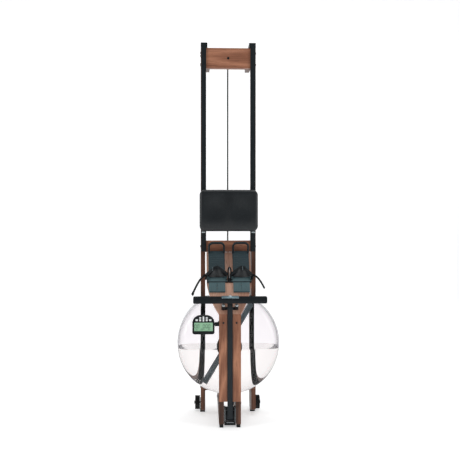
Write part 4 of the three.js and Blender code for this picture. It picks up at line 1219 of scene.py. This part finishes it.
def bolt(name, place, way, body="frame", radius=7.0, washer=True, finish=None):
    """A domed head with a hexagon socket, looking along way."""
    r = radius
    head = [(0, -0.2), (r, -0.2), (r, 0.9), (r * 0.93, 2.0), (r * 0.78, 2.9), (r * 0.52, 3.3)]
    head += [(r * 0.42, 3.25, 6), (r * 0.4, 1.2, 6), (0, 1.1)]
    made = turn(name, head, place, way, finish or dark_bolt, body, 36)
    if washer:
        ring = [(r * 0.6, -0.1), (r * 1.35, -0.1), (r * 1.42, 0.3), (r * 1.35, 0.8), (r * 0.6, 0.8)]
        turn(f"{name}_washer", ring, place, way, bright_steel, body, 36)
    return made


count = 0
for side, sign in sides:
    outer, flank = sign * 153.7, (sign, 0, 0)
    for label, y, z in (
        ("block_low", 17, 1968), ("block_high", 17, 2032), ("leg_low", 62, 1975), ("leg_high", 62, 2026),
        ("heel_bar", 17, 949), ("front_bar", 167, 129.5)
    ):
        bolt(f"{side}_bolt_{label}", at(outer, y, z), flank)
        count += 1
    bolt(f"{side}_deck_screw", at(sign * 34.5, -235, 551), (0, -1, 0), radius=5.4, washer=False)
    for label, y, z in (("front", -205, 122), ("back", 155, 76)):
        bolt(f"{side}_upright_bolt_{label}", at(sign * 58, y, z), flank, radius=6)
    for edge in (-1, 1):
        bolt(
            f"{side}_toe_screw_{'a' if edge < 0 else 'b'}", on_board(sign * foot_middle + edge * 51, 206, 6),
            outward, radius=3.6, washer=False
        )
    cheek = at(sign * 30, -211, 88)
    bolt(f"{side}_bracket_bolt", cheek, flank, radius=5, washer=False, finish=bright_steel)
    peg = on_board(sign * 35, 33, 36)
    turn(
        f"{side}_peg_cap", [
            (0, -0.2), (9, -0.2), (8.4, 2.2), (6.4, 4.4), (3.4, 5.6), (0, 6)
        ], peg, outward, bright_steel,
        "frame", 32
    )
    count += 6
print("bolts and caps:", count)

# %% Trim on the roller bracket and stops
for side, sign in sides:
    a, b = sorted((sign * 25.9, sign * 27.1))
    bar(f"{side}_bracket_edge", (a, -235.8, 30), (b, -234.6, 103), bright_steel, "frame", 0.4)
    a, b = sorted((sign * 129, sign * 149))
    bar(f"{side}_stop_bumper", (a, -26, 1024.4), (b, -8.4, 1030.6), pale_moulding, "frame", 1.4)
bar("bracket_sill", (-19, -235.8, 25.6), (19, -234.6, 27.4), bright_steel, "frame", 0.4)
print("bracket edges and stop bumpers")

# %% [markdown]
# ## Monitor
# The display shows plain seven-segment figures under a dark bezel. The segments are thin dark bars
# laid just over the glass, and the same few lines of code draw every digit.

# %% Monitor face
segments = {
    "a": (0, 1, 1), "b": (1, .5, 0), "c": (1, -.5, 0), "d": (0, -1, 1), "e": (-1, -.5, 0), "f": (-1, .5, 0),
    "g": (0, 0, 1)
}
lit = {"0": "abcdef", "1": "bc", "2": "abged", "3": "abgcd", "4": "fgbc", "5": "afgcd", "8": "abcdefg"}
display_ink = moulded("display_ink", "1c2f24", "2a4232", 0.4, grain=2600.0, dusty=0.0)
glass = -287.7
for row, (text, left, z, tall) in enumerate((
    ("00", -181, 541, 17), ("000", -138, 541, 17), ("10", -181, 525, 8), ("204", -152, 525, 8),
    ("35", -115, 525, 8)
)):
    for n, digit in enumerate(text):
        wide = tall * 0.5
        x0 = left + n * wide * 1.65
        for part in lit.get(digit, "abcdefg"):
            sx, sz, level_bar = segments[part]
            x, zz = x0 + sx * wide / 2, z + sz * tall / 2
            w, h = (wide * 0.42, tall * 0.05) if level_bar else (tall * 0.05, tall * 0.2)
            bar(
                f"digit_{row}_{n}_{part}", (
                    x - w, glass - 0.35, zz - h
                ), (x + w, glass + 0.1, zz + h), display_ink,
                "monitor", 0.1
            )
for label, low, high in (
    ("top", (-189.5, -288.9, 560), (-90.5, -287.6, 563)),
    ("bottom", (-189.5, -288.9, 513), (-90.5, -287.6, 516)),
    ("left", (-191.5, -288.9, 513), (-188.5, -287.6, 563)),
    ("right", (-91.5, -288.9, 513), (-88.5, -287.6, 563))
):
    bar(f"bezel_{label}", low, high, black_moulding, "monitor", 0.5)
print("monitor face drawn")

# %% [markdown]
# ## Studio
# The floor is one pale sheet that curves up behind the machine, so no edge shows. Two tall soft
# lights stand at the left and right, a third hangs overhead, and an even pale surround fills in.

# %% Floor
paper, tree, skin = new_finish("studio_paper")
masks = use(tree, moulding, {"Vector": place_of(tree), "Scale": 60.0})
tree.links.new(mix(tree, masks["Grain"], (0.9, 0.9, 0.9, 1), (0.94, 0.94, 0.94, 1)), skin["Base Color"])
skin["Roughness"].default_value = 0.95
skin["Specular IOR Level"].default_value = 0.1
skin["Emission Color"].default_value = (1, 1, 1, 1)
skin["Emission Strength"].default_value = 0.5
form = bmesh.new()
sweep_line = [(-9, 0), (2.2, 0)]
sweep_line += [
    (2.2 + 2.0 * math.sin(math.radians(a)), 2.0 - 2.0 * math.cos(math.radians(a))) for a in range(6, 91, 6)
]
sweep_line += [(4.2, 9)]
rows = [[form.verts.new((x, y, z)) for x in (-12, 12)] for y, z in sweep_line]
for a, b in zip(rows, rows[1:]):
    face = form.faces.new((a[0], a[1], b[1], b[0]))
    face.smooth = True
mesh = bpy.data.meshes.new("studio_sweep")
form.to_mesh(mesh)
form.free()
sweep = bpy.data.objects.new("studio_sweep", mesh)
sweep.data.materials.append(paper)
workshop.collection.objects.link(sweep)
print("paper sweep laid")

# %% Lights
sky = bpy.data.worlds.new("studio_air")
workshop.world = sky
sky.use_nodes = True
sky.node_tree.nodes["Background"].inputs["Color"].default_value = (0.96, 0.98, 1.0, 1)
sky.node_tree.nodes["Background"].inputs["Strength"].default_value = 0.25
for name, place, aim, wide, tall, watts in (
    ("left_soft_light", (-3.3, -1.7, 1.7), (0, 0, 1.0), 0.5, 2.0, 36),
    ("right_soft_light", (3.2, -2.0, 1.5), (0, 0, 0.9), 0.4, 1.8, 28),
    ("overhead_light", (0.3, -0.4, 3.6), (0, 0.1, 0.6), 2.2, 2.2, 24)
):
    lamp = bpy.data.lights.new(name, "AREA")
    lamp.shape = "RECTANGLE"
    lamp.energy = watts
    lamp.size, lamp.size_y = wide, tall
    holder = bpy.data.objects.new(name, lamp)
    holder.location = place
    holder.rotation_euler = (Vector(aim) - Vector(place)).to_track_quat("-Z", "Y").to_euler()
    workshop.collection.objects.link(holder)
workshop.view_settings.view_transform = "Standard"
print("three soft lights and pale air")
